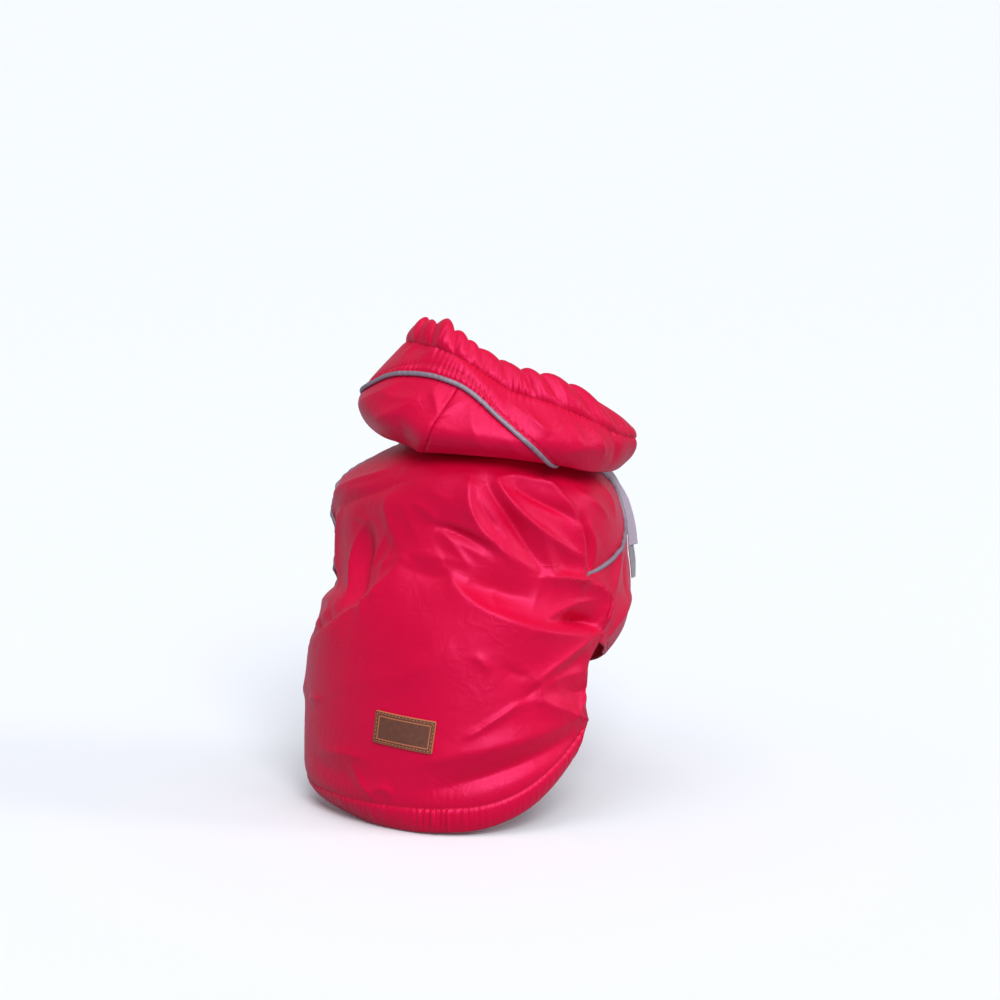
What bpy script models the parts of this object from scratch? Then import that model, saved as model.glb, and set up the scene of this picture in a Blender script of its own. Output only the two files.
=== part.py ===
"""A small dog's hooded raincoat as it is worn, the wearer sitting and the hood lying down round the neck.

Lengths are in millimetres and angles in degrees until a mesh is made, which is in metres. +Z is up, the chest
faces -Y and the wearer's right is -X. An angle runs round the coat from the centre back (0) to the wearer's
right (+90) and the chest (180). Heights are measured up from the lowest point of the hem, and the origin is
where the neck holds the coat, NECK_HOLD above it.
"""

import math

import bmesh
import bpy
import numpy as np

MILLIMETRE = 0.001

# Driving sizes
NECK_HOLD = 245.0
WALL = 1.6
SEAM_GAP = 0.4
FACING_GAP = 0.4
PIPING_WIDTH = 3.6
PIPING_LIFT = 2.7
LABEL_LENGTH = 43.0
LABEL_WIDTH = 22.0
LABEL_TURN = 5.5
LABEL_THICKNESS = 1.3
LABEL_ANGLE = 2.0
LABEL_HEIGHT = 68.0
HEM_CASING_WIDTH = 13.0
HEM_CASING_WALL = 2.2
RIM_CASING_WALL = 2.4
FRONT_LAP = 5.5
LAP_LIFT = 3.0
RIBBON_WIDTH = 9.0
RIBBON_THICKNESS = 1.0
BINDING_WIDTH = 3.2

# Colours are linear, as a shader reads them.
RED = (0.62, 0.006, 0.045, 1.0)
PIPING_GREY = (0.24, 0.20, 0.26, 1.0)
LABEL_BROWN = (0.10, 0.045, 0.03, 1.0)
RIBBON_LILAC = (0.55, 0.47, 0.60, 1.0)


def table(columns, *rows):
    """A table by the names of its columns."""
    values = np.array(rows, float)
    return {name: values[:, k] for k, name in enumerate(columns.split())}


# The body is a tube of level rings. along is the length up the cloth, which is the height until it closes in
# over the shoulders to the neckline.
BODY = table(
    "along height centre_x centre_y left right rear front",
    (0, 0, 0, 10, 108, 101, 95, 92),
    (12, 12, 0, 10, 110, 103, 95, 93),
    (24, 24, 0, 10, 110, 103, 95, 94),
    (63, 63, 0, 8, 110, 103, 95, 96),
    (108, 108, 0, -6, 110, 104, 103, 97),
    (122, 122, 0, -12, 107, 105, 106, 101),
    (137, 137, 0, -18, 101, 105, 107, 105),
    (150, 150, 0, -22, 94, 102, 105, 106),
    (165, 165, 0, -24, 97, 100, 100, 106),
    (182, 182, 0, -22, 99, 100, 92, 104),
    (200, 200, 0, -18, 101, 98, 84, 100),
    (220, 217, -2, -15, 97, 90, 79, 92),
    (236, 229, -5, -14, 83, 75, 74, 74),
    (248, 237, -7, -13, 71, 62, 67, 61),
    (262, 243, -9, -12, 58, 52, 58, 52),
    (275, 246, -10, -12, 46, 46, 47, 47),
)
NECKLINE = 275.0
SIDE_POINT = 120.0

# The side seams between the back panel and the fronts, and below SIDE_POINT the skirt's own side edges.
SIDE = table(
    "along right left",
    (48, 79, -97),
    (66, 80.5, -95),
    (82, 76.5, -92),
    (95, 76, -90),
    (108, 75, -89),
    (120, 78, -90),
    (135, 73, -80),
    (150, 70, -71),
    (161, 74, -68),
    (168, 88, -67),
    (176, 104, -67),
    (185, 114, -67),
    (200, 118, -73),
    (220, 118, -87),
    (236, 117, -98),
    (248, 116, -104),
    (262, 112, -107),
    (275, 108, -109),
)

# The skirt's hem: how high it lies and how far its edge is drawn in under the rump by the elastic.
HEM = table(
    "angle height drawn_in",
    (-97, 46, 10),
    (-88, 22, 12),
    (-75, 6, 15),
    (-55, 0, 16),
    (-30, 0, 14),
    (-8, 0, 8),
    (14, 1, 3),
    (36, 5, 3),
    (45, 10, 4),
    (61, 25, 5),
    (71, 37, 6),
    (80, 50, 6),
)

# The lower edge of the fronts, under the chest and between the legs.
FRONT_HEM = table(
    "angle height",
    (78, 120),
    (88, 112),
    (100, 104),
    (115, 98),
    (130, 90),
    (150, 82),
    (180, 79),
)


def spline(at, knots, values):
    """A smooth curve through values at rising knots, read at each place and level past its ends."""
    slopes = np.gradient(values, knots)
    k = np.clip(np.searchsorted(knots, at) - 1, 0, len(knots) - 2)
    width = knots[k + 1] - knots[k]
    t = np.clip((at - knots[k]) / width, 0.0, 1.0)
    rise = (
        (1 + 2 * t) * (1 - t) ** 2 * values[k]
        + t**2 * (3 - 2 * t) * values[k + 1]
        + width * t * (1 - t) * ((1 - t) * slopes[k] - t * slopes[k + 1])
    )
    return rise


def ring_spline(at, knots, values):
    """The same round a closed ring, its knots in degrees."""
    knots = np.concatenate([knots - 360, knots, knots + 360])
    return spline(at, knots, np.tile(values, 3))


def blend(low, high, at):
    """0 below low and 1 above high, with a smooth step between."""
    t = np.clip((at - low) / (high - low), 0.0, 1.0)
    return t * t * (3 - 2 * t)


def body_round(angle, along):
    """The body's plain form, before any fold."""
    angle, along = np.broadcast_arrays(np.asarray(angle, float), np.asarray(along, float))
    turn = np.radians(angle)
    ring = {name: spline(along, BODY["along"], BODY[name]) for name in BODY}
    side = np.where(np.sin(turn) > 0, ring["right"], ring["left"])
    depth = np.where(np.cos(turn) > 0, ring["rear"], ring["front"])
    x = ring["centre_x"] - side * np.sin(turn)
    y = ring["centre_y"] + depth * np.cos(turn)
    return np.stack([x, y, ring["height"]], axis=-1)


def outward(form, angle, level, step=0.5, rise=1.0):
    """The unit normals of a form, from points a little to each side."""
    round_way = form(angle + step, level) - form(angle - step, level)
    up_way = form(angle, level + rise) - form(angle, level - rise)
    normal = np.cross(round_way, up_way)
    return normal / np.linalg.norm(normal, axis=-1, keepdims=True)


# Folds of the body, each along a bowed line: its start, the point it bows towards and its end, how wide it is to
# one side and how far it stands out, or in where it is below 0.
BODY_ARC = 1.75
BODY_FOLDS = table(
    "start_angle start_along bow_angle bow_along end_angle end_along width depth",
    # left of the centre back
    (-56, 205, -34, 216, -16, 235, 7, -2.6),
    (-60, 214, -42, 226, -24, 240, 6, 2.2),
    (-22, 224, -14, 194, -6, 176, 9, 3.6),
    (-6, 178, -18, 144, -62, 102, 8, 5.0),
    (-15, 194, -33, 172, -22, 140, 6, -3.8),
    (-30, 196, -40, 168, -34, 138, 7, 3.0),
    # the middle of the back
    (6, 201, 16, 198, 28, 186, 4.5, -4.0),
    (8, 199, 12, 189, 19, 178, 4, -2.0),
    (20, 240, 15, 196, 47, 170, 8, 4.6),
    (34, 238, 38, 207, 66, 178, 7, 5.0),
    (34, 237, 42, 246, 60, 231, 5, 3.0),
    (26, 226, 30, 204, 52, 184, 6, -3.0),
    (48, 199, 51, 181, 54, 162, 5, 2.6),
    # the pleat beside the wearer's right shoulder, and the flap over the side point
    (59, 232, 70, 200, 66, 158, 6, 4.0),
    (72, 206, 75, 186, 72, 164, 5, -3.4),
    (74, 226, 84, 216, 90, 200, 5, 2.6),
    (54, 163, 80, 157, 77, 126, 8, 6.0),
    (73, 146, 60, 148, 48, 136, 6, 3.4),
    (60, 139, 70, 137, 78, 128, 5, -4.6),
    (14, 169, 28, 136, 72, 127, 9, 5.6),
    (18, 170, 34, 146, 60, 139, 7, -3.6),
    # the skirt
    (72, 126, 64, 114, 53, 103, 5, 3.2),
    (48, 106, 49, 96, 55, 87, 4.5, 2.6),
    (53, 90, 66, 85, 79, 72, 6, 3.6),
    (12, 38, 45, 50, 73, 76, 9, 3.0),
    (14, 30, 42, 40, 70, 62, 5, -2.2),
    (-42, 43, -26, 49, -12, 47, 6, 2.2),
    (-24, 40, -12, 20, 2, 26, 6, 2.8),
    # the wearer's left side
    (-54, 162, -80, 154, -90, 126, 8, 5.0),
    (-34, 146, -62, 138, -91, 121, 8, 3.6),
    (-64, 204, -78, 178, -70, 150, 7, 3.0),
    (-70, 112, -80, 92, -93, 74, 7, 3.2),
    (-60, 84, -76, 64, -92, 58, 7, 2.6),
    # the chest
    (99, 180, 90, 165, 88, 146, 6, 3.2),
    (113, 140, 94, 136, 85, 119, 5, 3.0),
    (150, 252, 138, 222, 128, 188, 8, 3.0),
    (-150, 252, -136, 218, -124, 186, 8, 3.0),
    (176, 226, 166, 200, 158, 172, 7, 2.6),
    (-168, 230, -160, 204, -162, 172, 7, 2.6),
    (-100, 178, -108, 160, -106, 136, 7, 3.0),
    (-80, 136, -100, 128, -116, 108, 7, 2.8),
)


def relief(x, y, folds, arc, rise):
    """How far the folds stand out at places x, y, which are in millimetres round and along the cloth."""
    total = np.zeros(np.broadcast(x, y).shape)
    t = np.linspace(0, 1, 25)
    for k in range(len(folds["width"])):
        path = [
            (1 - t) ** 2 * folds[f"start_{way}"][k]
            + 2 * t * (1 - t) * folds[f"bow_{way}"][k]
            + t**2 * folds[f"end_{way}"][k]
            for way in ("angle", "along")
        ]
        px, py = path[0] * arc, path[1] * rise
        distance = np.hypot(x[..., None] - px, y[..., None] - py)
        nearest = np.argmin(distance, axis=-1)
        reach = np.min(distance, axis=-1) / folds["width"][k]
        fade = np.sin(np.pi * np.clip(t[nearest], 0.04, 0.96)) ** 0.6
        total += folds["depth"][k] * fade * np.exp(-(reach**1.6))
    return total


def body(angle, along, out=0.0):
    """The body's outer face with its folds, moved out."""
    angle, along = np.broadcast_arrays(np.asarray(angle, float), np.asarray(along, float))
    folds = relief(angle * BODY_ARC, along, BODY_FOLDS, BODY_ARC, 1.0)
    lift = folds * blend(262.0, 244.0, along) + out
    return body_round(angle, along) + outward(body_round, angle, along) * lift[..., None]


# The hood is a soft ring about its own upright axis. Each row is an upright cut at one angle: how far out and how
# high its bottom fold, its fullest place and its rim lie.
HOOD_AXIS = (-22.0, -18.0)
HOOD = table(
    "angle fold_reach fold_height full_reach full_height rim_reach rim_height casing_level",
    (-155, 66, 242, 84, 258, 54, 292, 0.80),
    (-110, 68, 245, 94, 266, 52, 311, 0.84),
    (-65, 72, 249, 100, 274, 56, 329, 0.87),
    (-20, 76, 249, 92, 270, 50, 330, 0.87),
    (5, 72, 248, 85, 266, 44, 316, 0.86),
    (25, 68, 246, 80, 262, 43, 307, 0.82),
    (55, 71, 240, 82, 258, 51, 299, 0.76),
    (80, 73, 233, 84, 252, 62, 287, 0.66),
    (95, 74, 230, 86, 249, 72, 273, 0.58),
    (115, 75, 229, 87, 246, 80, 259, 0.54),
    (145, 72, 231, 84, 246, 78, 256, 0.56),
    (180, 66, 239, 78, 251, 62, 268, 0.66),
)
HOOD_NECK_RISE = 0.8
FULL_LEVEL = 0.45

# Where the hood's piping runs, and its crown seam. Level 0 is the bottom fold, 1 the rim and -1 the neckline.
HOOD_PIPING = table(
    "angle level",
    (-134, -0.94),
    (-124, -0.45),
    (-106, 0.20),
    (-82, 0.46),
    (-58, 0.59),
    (-45, 0.68),
    (-28, 0.73),
    (-13, 0.745),
    (2, 0.73),
    (15, 0.66),
    (29, 0.51),
    (40, 0.28),
    (51, -0.02),
    (62, -0.40),
    (76, -0.94),
)
CROWN_SEAM = table(
    "level angle",
    (-1.0, -24),
    (0.0, -21),
    (0.33, -10),
    (0.50, -7),
    (0.75, -2),
)


def hood_round(angle, level):
    """The hood's plain form, from the neckline out over the shoulders and up to the rim."""
    angle, level = np.broadcast_arrays(np.asarray(angle, float), np.asarray(level, float))
    cut = {name: ring_spline(angle, HOOD["angle"], HOOD[name]) for name in HOOD}
    turn = np.radians(angle)
    wrapped = (angle + 180.0) % 360.0 - 180.0
    lap = np.where(wrapped > 0, blend(156.0, 170.0, wrapped), blend(148.0, 164.0, -wrapped))
    neck = body_round(angle, NECKLINE)
    neck[..., 2] += HOOD_NECK_RISE + LAP_LIFT * lap

    def place(reach, height):
        x = HOOD_AXIS[0] - reach * np.sin(turn)
        y = HOOD_AXIS[1] + reach * np.cos(turn)
        return np.stack([x, y, height], axis=-1)

    knots = np.array([-1.0, 0.0, FULL_LEVEL, 1.0])
    points = np.stack(
        [
            neck,
            place(cut["fold_reach"], cut["fold_height"]),
            place(cut["full_reach"], cut["full_height"]),
            place(cut["rim_reach"], cut["rim_height"]),
        ]
    )
    slopes = np.gradient(points, knots, axis=0)
    climb = np.diff(points[..., 2], axis=0) / np.diff(knots).reshape(-1, *(1,) * level.ndim)
    both = climb[:-1] * climb[1:]
    slopes[1:-1, ..., 2] = np.where(both > 0, 2 * both / (climb[:-1] + climb[1:]), 0.0)
    k = np.clip(np.searchsorted(knots, level) - 1, 0, len(knots) - 2)
    width = (knots[k + 1] - knots[k])[..., None]
    t = np.clip((level[..., None] - knots[k][..., None]) / width, -0.2, 1.2)

    def pick(grid, at):
        return np.take_along_axis(grid, at[None, ..., None], axis=0)[0]

    return (
        (1 + 2 * t) * (1 - t) ** 2 * pick(points, k)
        + t**2 * (3 - 2 * t) * pick(points, k + 1)
        + width * t * (1 - t) * ((1 - t) * pick(slopes, k) - t * pick(slopes, k + 1))
    )


HOOD_ARC = 1.45
HOOD_RISE = 75.0
HOOD_FOLDS = table(
    "start_angle start_along bow_angle bow_along end_angle end_along width depth",
    (-20, 0.90, 4, 0.92, 30, 0.78, 8, 3.0),
    (-40, 0.84, -26, 0.92, -12, 0.94, 6, 2.4),
    (-62, 0.72, -50, 0.82, -44, 0.96, 7, -2.4),
    (-26, 0.60, -14, 0.48, -10, 0.30, 9, -2.6),
    (-40, 0.56, -46, 0.36, -30, 0.16, 11, 2.6),
    (8, 0.52, 22, 0.34, 26, 0.12, 9, 2.4),
    (36, 0.66, 46, 0.50, 58, 0.66, 6, 2.2),
    (58, 0.34, 72, 0.36, 84, 0.20, 7, 2.6),
    (83, 0.58, 88, 0.38, 84, 0.16, 7, -2.4),
    (100, 0.70, 104, 0.45, 112, 0.16, 9, 2.8),
    (128, 0.70, 138, 0.48, 134, 0.20, 9, 2.4),
    (160, 0.70, 168, 0.40, 162, 0.10, 9, 2.2),
    (-172, 0.70, -164, 0.40, -168, 0.12, 9, 2.2),
    (-140, 0.80, -132, 0.50, -136, 0.20, 10, 2.6),
    (-112, 0.82, -104, 0.56, -110, 0.24, 10, -2.4),
    (-86, 0.80, -80, 0.50, -88, 0.20, 10, 2.6),
)


def hood(angle, level, out=0.0):
    """The hood's outer face with its folds, moved out."""
    angle, level = np.broadcast_arrays(np.asarray(angle, float), np.asarray(level, float))
    folds = relief(angle * HOOD_ARC, level * HOOD_RISE, HOOD_FOLDS, HOOD_ARC, HOOD_RISE)
    lift = folds * blend(-0.4, 0.1, level) + out
    return hood_round(angle, level) + outward(hood_round, angle, level, 0.5, 0.01) * lift[..., None]


def shifted(form, angle, level, by, rise):
    """A line on a form, moved sideways by a distance, to the left of the way it runs."""
    step = 0.2
    per_angle = np.linalg.norm(form(angle + step, level) - form(angle - step, level), axis=-1) / (2 * step)
    lift = step * rise
    per_level = np.linalg.norm(form(angle, level + lift) - form(angle, level - lift), axis=-1) / (2 * lift)
    run = np.gradient(angle) * per_angle
    climb = np.gradient(level) * per_level
    length = np.hypot(run, climb)
    return angle - by * climb / length / per_angle, level + by * run / length / per_level


# The objects


def finish(name, mesh, colour, roughness):
    """Adds a mesh, in millimetres, as an object with its own material."""
    closed = bmesh.new()
    closed.from_mesh(mesh)
    bmesh.ops.remove_doubles(closed, verts=closed.verts, dist=0.001)
    bmesh.ops.recalc_face_normals(closed, faces=closed.faces)
    bmesh.ops.translate(closed, vec=(0.0, 0.0, -NECK_HOLD), verts=closed.verts)
    bmesh.ops.scale(closed, vec=(MILLIMETRE,) * 3, verts=closed.verts)
    closed.to_mesh(mesh)
    closed.free()
    mesh.shade_smooth()
    mesh.set_sharp_from_angle(angle=math.radians(50))
    material = bpy.data.materials.new(name)
    material.use_nodes = True
    shader = material.node_tree.nodes["Principled BSDF"]
    shader.inputs["Base Color"].default_value = colour
    shader.inputs["Roughness"].default_value = roughness
    shader.inputs["Metallic"].default_value = 0.0
    mesh.materials.append(material)
    piece = bpy.data.objects.new(name, mesh)
    bpy.context.collection.objects.link(piece)
    return piece


def wall(name, outer, inner, colour, roughness=0.4, cut=None):
    """A cloth piece: two grids of points, one behind the other, closed round every edge.

    Each cell is split along its shorter diagonal, so that slanted cells keep the form's curve.
    """
    rows, columns = outer.shape[:2]
    points = np.concatenate([outer.reshape(-1, 3), inner.reshape(-1, 3)])
    behind = rows * columns
    faces = []
    for i in range(rows - 1):
        for j in range(columns - 1):
            if cut is not None and cut[i, j]:
                continue
            at = i * columns + j
            a, b, c, d = at, at + columns, at + columns + 1, at + 1
            if np.linalg.norm(points[a] - points[c]) < np.linalg.norm(points[b] - points[d]):
                faces += [(a, b, c), (a, c, d)]
            else:
                faces += [(a, b, d), (b, c, d)]
    edges = {(face[k], face[(k + 1) % 3]) for face in faces for k in range(3)}
    backs = [tuple(point + behind for point in reversed(face)) for face in faces]
    sides = [(b, a, a + behind, b + behind) for a, b in edges if (b, a) not in edges]
    used = sorted({point for face in faces for point in face})
    number = {point: k for k, point in enumerate(used)}
    number.update({point + behind: k + len(used) for k, point in enumerate(used)})
    mesh = bpy.data.meshes.new(name)
    mesh.from_pydata(
        [tuple(points[point]) for point in used] + [tuple(points[point + behind]) for point in used],
        [],
        [tuple(number[point] for point in face) for face in faces + backs + sorted(sides)],
    )
    return finish(name, mesh, colour, roughness)


def rod(name, path, radius, colour, closed=False, roughness=0.5):
    """A round cord along a path of points."""
    curve = bpy.data.curves.new(name, "CURVE")
    curve.dimensions = "3D"
    spline_of_points = curve.splines.new("POLY")
    spline_of_points.points.add(len(path) - 1)
    for point, place in zip(spline_of_points.points, path):
        point.co = (*place, 1.0)
    spline_of_points.use_cyclic_u = closed
    curve.bevel_depth = radius
    curve.bevel_resolution = 1
    curve.use_fill_caps = True
    guide = bpy.data.objects.new("guide", curve)
    mesh = bpy.data.meshes.new_from_object(guide)
    mesh.name = name
    bpy.data.objects.remove(guide)
    bpy.data.curves.remove(curve)
    return finish(name, mesh, colour, roughness)


def side_line(side, along, shift):
    """The seam or the free edge at one side of the back panel, read downwards and moved forwards by shift."""
    angle = spline(along, SIDE["along"], SIDE[side])
    way = 1.0 if side == "right" else -1.0
    return shifted(body_round, angle, along, way * shift, 5.0)


def hem_height(angle, above=0.0):
    """How far up the cloth a line above the hem runs."""
    return spline(angle, HEM["angle"], HEM["height"]) + above


HEM_TUCK_REACH = 26.0


def hem_tuck(angle, along):
    """How far the skirt is drawn in near its hem."""
    above = np.clip((along - hem_height(angle)) / HEM_TUCK_REACH, 0.0, 1.0)
    return spline(angle, HEM["angle"], HEM["drawn_in"]) * (1 - above) ** 2


CENTRE_COLUMNS = 28
CENTRE_EDGE = 60.0
RIGHT_COLUMNS = 8
LEFT_COLUMNS = 6
UPPER_ROWS = 19
LOWER_ROWS = 11


def side_rows(side):
    """How far up the cloth each row of the back panel meets its side, which the fronts share down to SIDE_POINT."""
    low = hem_height(HEM["angle"][-1 if side == "right" else 0], HEM_CASING_WIDTH + SEAM_GAP)
    lower = np.linspace(SIDE_POINT, low, LOWER_ROWS + 1)[1:]
    return np.concatenate([np.linspace(NECKLINE, SIDE_POINT, UPPER_ROWS), lower])


def back_grid():
    """Angles and heights of the back panel's grid, from the neckline down to the casing."""
    upper = np.linspace(NECKLINE, SIDE_POINT, UPPER_ROWS)
    lower = np.linspace(0.0, 1.0, LOWER_ROWS + 1)[1:]
    casing_top = HEM_CASING_WIDTH + SEAM_GAP
    centre = np.linspace(-CENTRE_EDGE, CENTRE_EDGE, CENTRE_COLUMNS + 1)
    out_right = np.linspace(0, 1, RIGHT_COLUMNS + 1)[1:]
    out_left = np.linspace(1, 0, LEFT_COLUMNS + 1)[:-1]
    right = side_line("right", side_rows("right"), -SEAM_GAP / 2)
    left = side_line("left", side_rows("left"), -SEAM_GAP / 2)
    angles, alongs = [], []
    for k in range(UPPER_ROWS + LOWER_ROWS):
        angle = np.concatenate(
            [
                -CENTRE_EDGE + (left[0][k] + CENTRE_EDGE) * out_left,
                centre,
                CENTRE_EDGE + (right[0][k] - CENTRE_EDGE) * out_right,
            ]
        )
        if k < UPPER_ROWS:
            middle = np.full(len(centre), upper[k])
            right_side = upper[k] + (right[1][k] - upper[k]) * out_right
            left_side = upper[k] + (left[1][k] - upper[k]) * out_left
            along = np.concatenate([left_side, middle, right_side])
        else:
            low = hem_height(angle, casing_top)
            along = SIDE_POINT + (low - SIDE_POINT) * lower[k - UPPER_ROWS]
        angles.append(angle)
        alongs.append(along)
    return np.array(angles), np.array(alongs)


def back_panel():
    angle, along = back_grid()
    tuck = np.where(along < SIDE_POINT, hem_tuck(angle, along), 0.0)
    outer = body(angle, along, -tuck)
    inner = body(angle, along, -tuck - WALL)
    wall("back_panel", outer, inner, RED)


HEM_GATHERS = 22
HEM_GATHER_DEPTH = 0.8
COLUMNS_A_GATHER = 4


def gathers(count, columns_each, seed):
    """Heights from 0 to 1 of a row of uneven gathers."""
    draw = np.random.default_rng(seed)
    depth = np.repeat(draw.uniform(0.35, 1.0, count), columns_each)
    wave = 0.5 - 0.5 * np.cos(2 * np.pi * np.arange(count * columns_each) / columns_each)
    return np.append(depth * wave, 0.0)


def hem_casing():
    columns = HEM_GATHERS * COLUMNS_A_GATHER
    angle = np.linspace(HEM["angle"][0], HEM["angle"][-1], columns + 1)
    top = hem_height(angle, HEM_CASING_WIDTH - SEAM_GAP / 2)
    foot = hem_height(angle)
    down = np.linspace(0.0, 1.0, 4)[:, None]
    along = top + (foot - top) * down
    angle = np.broadcast_to(angle, along.shape)
    wave = HEM_GATHER_DEPTH * gathers(HEM_GATHERS, COLUMNS_A_GATHER, 3) * np.sin(np.pi * (0.15 + 0.7 * down))
    tuck = hem_tuck(angle, along)
    outer = body(angle, along, wave - tuck)
    inner = body(angle, along, -HEM_CASING_WALL - tuck)
    wall("hem_casing", outer, inner, RED)


ARMHOLE = {"angle": 146.0, "along": 131.0, "half_angle": 13.7, "half_height": 26.0}
SIDE_COLUMNS = 6
ARMHOLE_COLUMNS = 6
LAP_COLUMNS = 5
CHEST_ROWS = 10
ARMHOLE_ROWS = 5
FOOT_ROWS = 3
HEM_PULL_FROM = 0.85
FRONT_DRAWN_IN = 9.0
FRONT_DRAW_REACH = 26.0


def front_hem(angle):
    """How high the lower edge of the fronts is at an angle to either side."""
    return spline(np.abs(angle), FRONT_HEM["angle"], FRONT_HEM["height"])


def front_surface(side, angle, along, out):
    """The fronts' outer face: drawn in at the lower edge, and the right front lapped over the left."""
    above = np.clip((along - front_hem(angle)) / FRONT_DRAW_REACH, 0.0, 1.0)
    drawn = FRONT_DRAWN_IN * (1 - above) ** 2 * blend(80.0, 100.0, np.abs(angle))
    lap = LAP_LIFT * blend(160.0, 172.0, np.abs(angle)) if side == "right" else 0.0
    return body(angle, along, out - drawn + lap)


def front_grid(side):
    """Angles and heights of a front, from its side seam round to the lap, and the cells its armhole takes."""
    sign = 1.0 if side == "right" else -1.0
    seam = [line[:UPPER_ROWS] for line in side_line(side, side_rows(side), SEAM_GAP / 2)]
    low, high = (ARMHOLE["angle"] + way * ARMHOLE["half_angle"] for way in (-1, 1))
    top, foot = (ARMHOLE["along"] + way * ARMHOLE["half_height"] for way in (1, -1))
    inner_angles = np.concatenate(
        [
            np.linspace(low, high, ARMHOLE_COLUMNS + 1),
            np.linspace(high, 180.0 + FRONT_LAP, LAP_COLUMNS + 1)[1:],
        ]
    )
    rows = UPPER_ROWS
    down = np.linspace(0.0, 1.0, rows)[:, None]
    near = np.linspace(0.0, 1.0, SIDE_COLUMNS + 1)[:-1]
    inner_along = np.concatenate(
        [
            np.linspace(NECKLINE, top, CHEST_ROWS + 1),
            np.linspace(top, foot, ARMHOLE_ROWS + 1)[1:],
            np.linspace(foot, front_hem(low), FOOT_ROWS + 1)[1:],
        ]
    )[:, None]
    seam_angle, seam_along = sign * seam[0][:, None], seam[1][:, None]
    angle = np.concatenate(
        [seam_angle + (low - seam_angle) * near, np.broadcast_to(inner_angles, (rows, len(inner_angles)))],
        axis=1,
    )
    along = np.concatenate(
        [
            seam_along + (inner_along - seam_along) * near,
            np.broadcast_to(inner_along, (rows, len(inner_angles))),
        ],
        axis=1,
    )
    pull = np.clip((down - HEM_PULL_FROM) / (1 - HEM_PULL_FROM), 0.0, 1.0)
    along = along + (front_hem(angle[-1:]) - along[-1:]) * pull * (np.arange(angle.shape[1]) > 0)

    across_way = (angle - ARMHOLE["angle"]) / ARMHOLE["half_angle"]
    up_way = (along - ARMHOLE["along"]) / ARMHOLE["half_height"]
    square = np.maximum(np.abs(across_way), np.abs(up_way))
    circle = np.maximum(np.hypot(across_way, up_way), 1e-6)
    pull = (square / circle - 1) * blend(1.9, 1.0, square) + 1
    first = SIDE_COLUMNS
    cut = np.zeros((rows - 1, angle.shape[1] - 1), bool)
    cut[CHEST_ROWS : CHEST_ROWS + ARMHOLE_ROWS, first : first + ARMHOLE_COLUMNS] = True
    angle = ARMHOLE["angle"] + across_way * pull * ARMHOLE["half_angle"]
    along = ARMHOLE["along"] + up_way * pull * ARMHOLE["half_height"]
    return sign * angle, along, cut


def front_panel(side):
    angle, along, cut = front_grid(side)
    outer = front_surface(side, angle, along, 0.0)
    inner = front_surface(side, angle, along, -WALL)
    wall(f"front_panel_{side}", outer, inner, RED, cut=cut)


def armhole_binding(side):
    """A narrow bound edge just inside the armhole."""
    sign = 1.0 if side == "right" else -1.0
    turn = np.linspace(0.0, 2 * np.pi, 25)[:-1]
    inset = BINDING_WIDTH / 2 + 2 * SEAM_GAP
    angle = ARMHOLE["angle"] + (ARMHOLE["half_angle"] - inset / BODY_ARC) * np.cos(turn)
    along = ARMHOLE["along"] + (ARMHOLE["half_height"] - inset) * np.sin(turn)
    path = front_surface(side, sign * angle, along, -WALL / 2)
    rod(f"armhole_binding_{side}", path, BINDING_WIDTH / 2, RED, closed=True)


PIPING_TOP = 230.0
PIPING_FOOT = {"left": 140.0, "right": 162.0}
PIPING_POINTS = 30
SHOULDER_PIPING_LIFT = PIPING_LIFT + 0.3


def shoulder_piping(side):
    along = np.linspace(PIPING_TOP, PIPING_FOOT[side], PIPING_POINTS)
    angle = spline(along, SIDE["along"], SIDE[side])
    rod(f"shoulder_piping_{side}", body(angle, along, SHOULDER_PIPING_LIFT), PIPING_WIDTH / 2, PIPING_GREY)


RIBBON_EDGE_ANGLE = 120.6
RIBBON_TOP = 228.0
RIBBON_FOOT = 169.0
TAB_FOOT = 147.0
TAB_WIDTH = 6.4


def ribbon_strip(name, top, foot, stand_top, stand_foot, width, colour):
    """A flat ribbon down the chest: its rear edge lies on the cloth and its front edge stands off it."""
    across_way = np.linspace(0.0, 1.0, 4)[None, :]
    down = np.linspace(0.0, 1.0, 9)[:, None]
    lying = np.sqrt(width**2 - (stand_top + (stand_foot - stand_top) * down) ** 2)
    angle = RIBBON_EDGE_ANGLE + across_way * lying / BODY_ARC
    along = top + (foot - top) * down + 0 * across_way
    stand = (stand_top + (stand_foot - stand_top) * down) * across_way + FACING_GAP
    outer = front_surface("right", angle, along, stand + RIBBON_THICKNESS)
    inner = front_surface("right", angle, along, stand)
    wall(name, outer, inner, colour)


LABEL_CELLS = (8, 4)


def label_patch():
    """The leather patch, bent to the cloth it is sewn to."""
    turn = math.radians(LABEL_TURN)
    x = np.linspace(-LABEL_LENGTH / 2, LABEL_LENGTH / 2, LABEL_CELLS[0] + 1)[None, :]
    y = np.linspace(LABEL_WIDTH / 2, -LABEL_WIDTH / 2, LABEL_CELLS[1] + 1)[:, None]
    arc = np.radians(1.0) * spline(LABEL_HEIGHT, BODY["along"], BODY["right"])
    angle = LABEL_ANGLE + (x * math.cos(turn) + y * math.sin(turn)) / arc
    along = LABEL_HEIGHT - x * math.sin(turn) + y * math.cos(turn)
    outer = body(angle, along, FACING_GAP + LABEL_THICKNESS)
    inner = body(angle, along, FACING_GAP)
    wall("label_patch", outer, inner, LABEL_BROWN, roughness=0.6)


# The hood's pieces. Their rows are shared along the seams, so that the pieces meet edge to edge.
CROWN_COLUMNS = {"left": 18, "right": 11}
CROWN_ROWS = 12
BAND_ROWS = 7
ROW_SPREAD = 0.75
THROAT_COLUMNS = {"left": 8, "right": 17}
HOOD_PARTING = 0.3
LEVEL_STEP = 0.01


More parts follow.
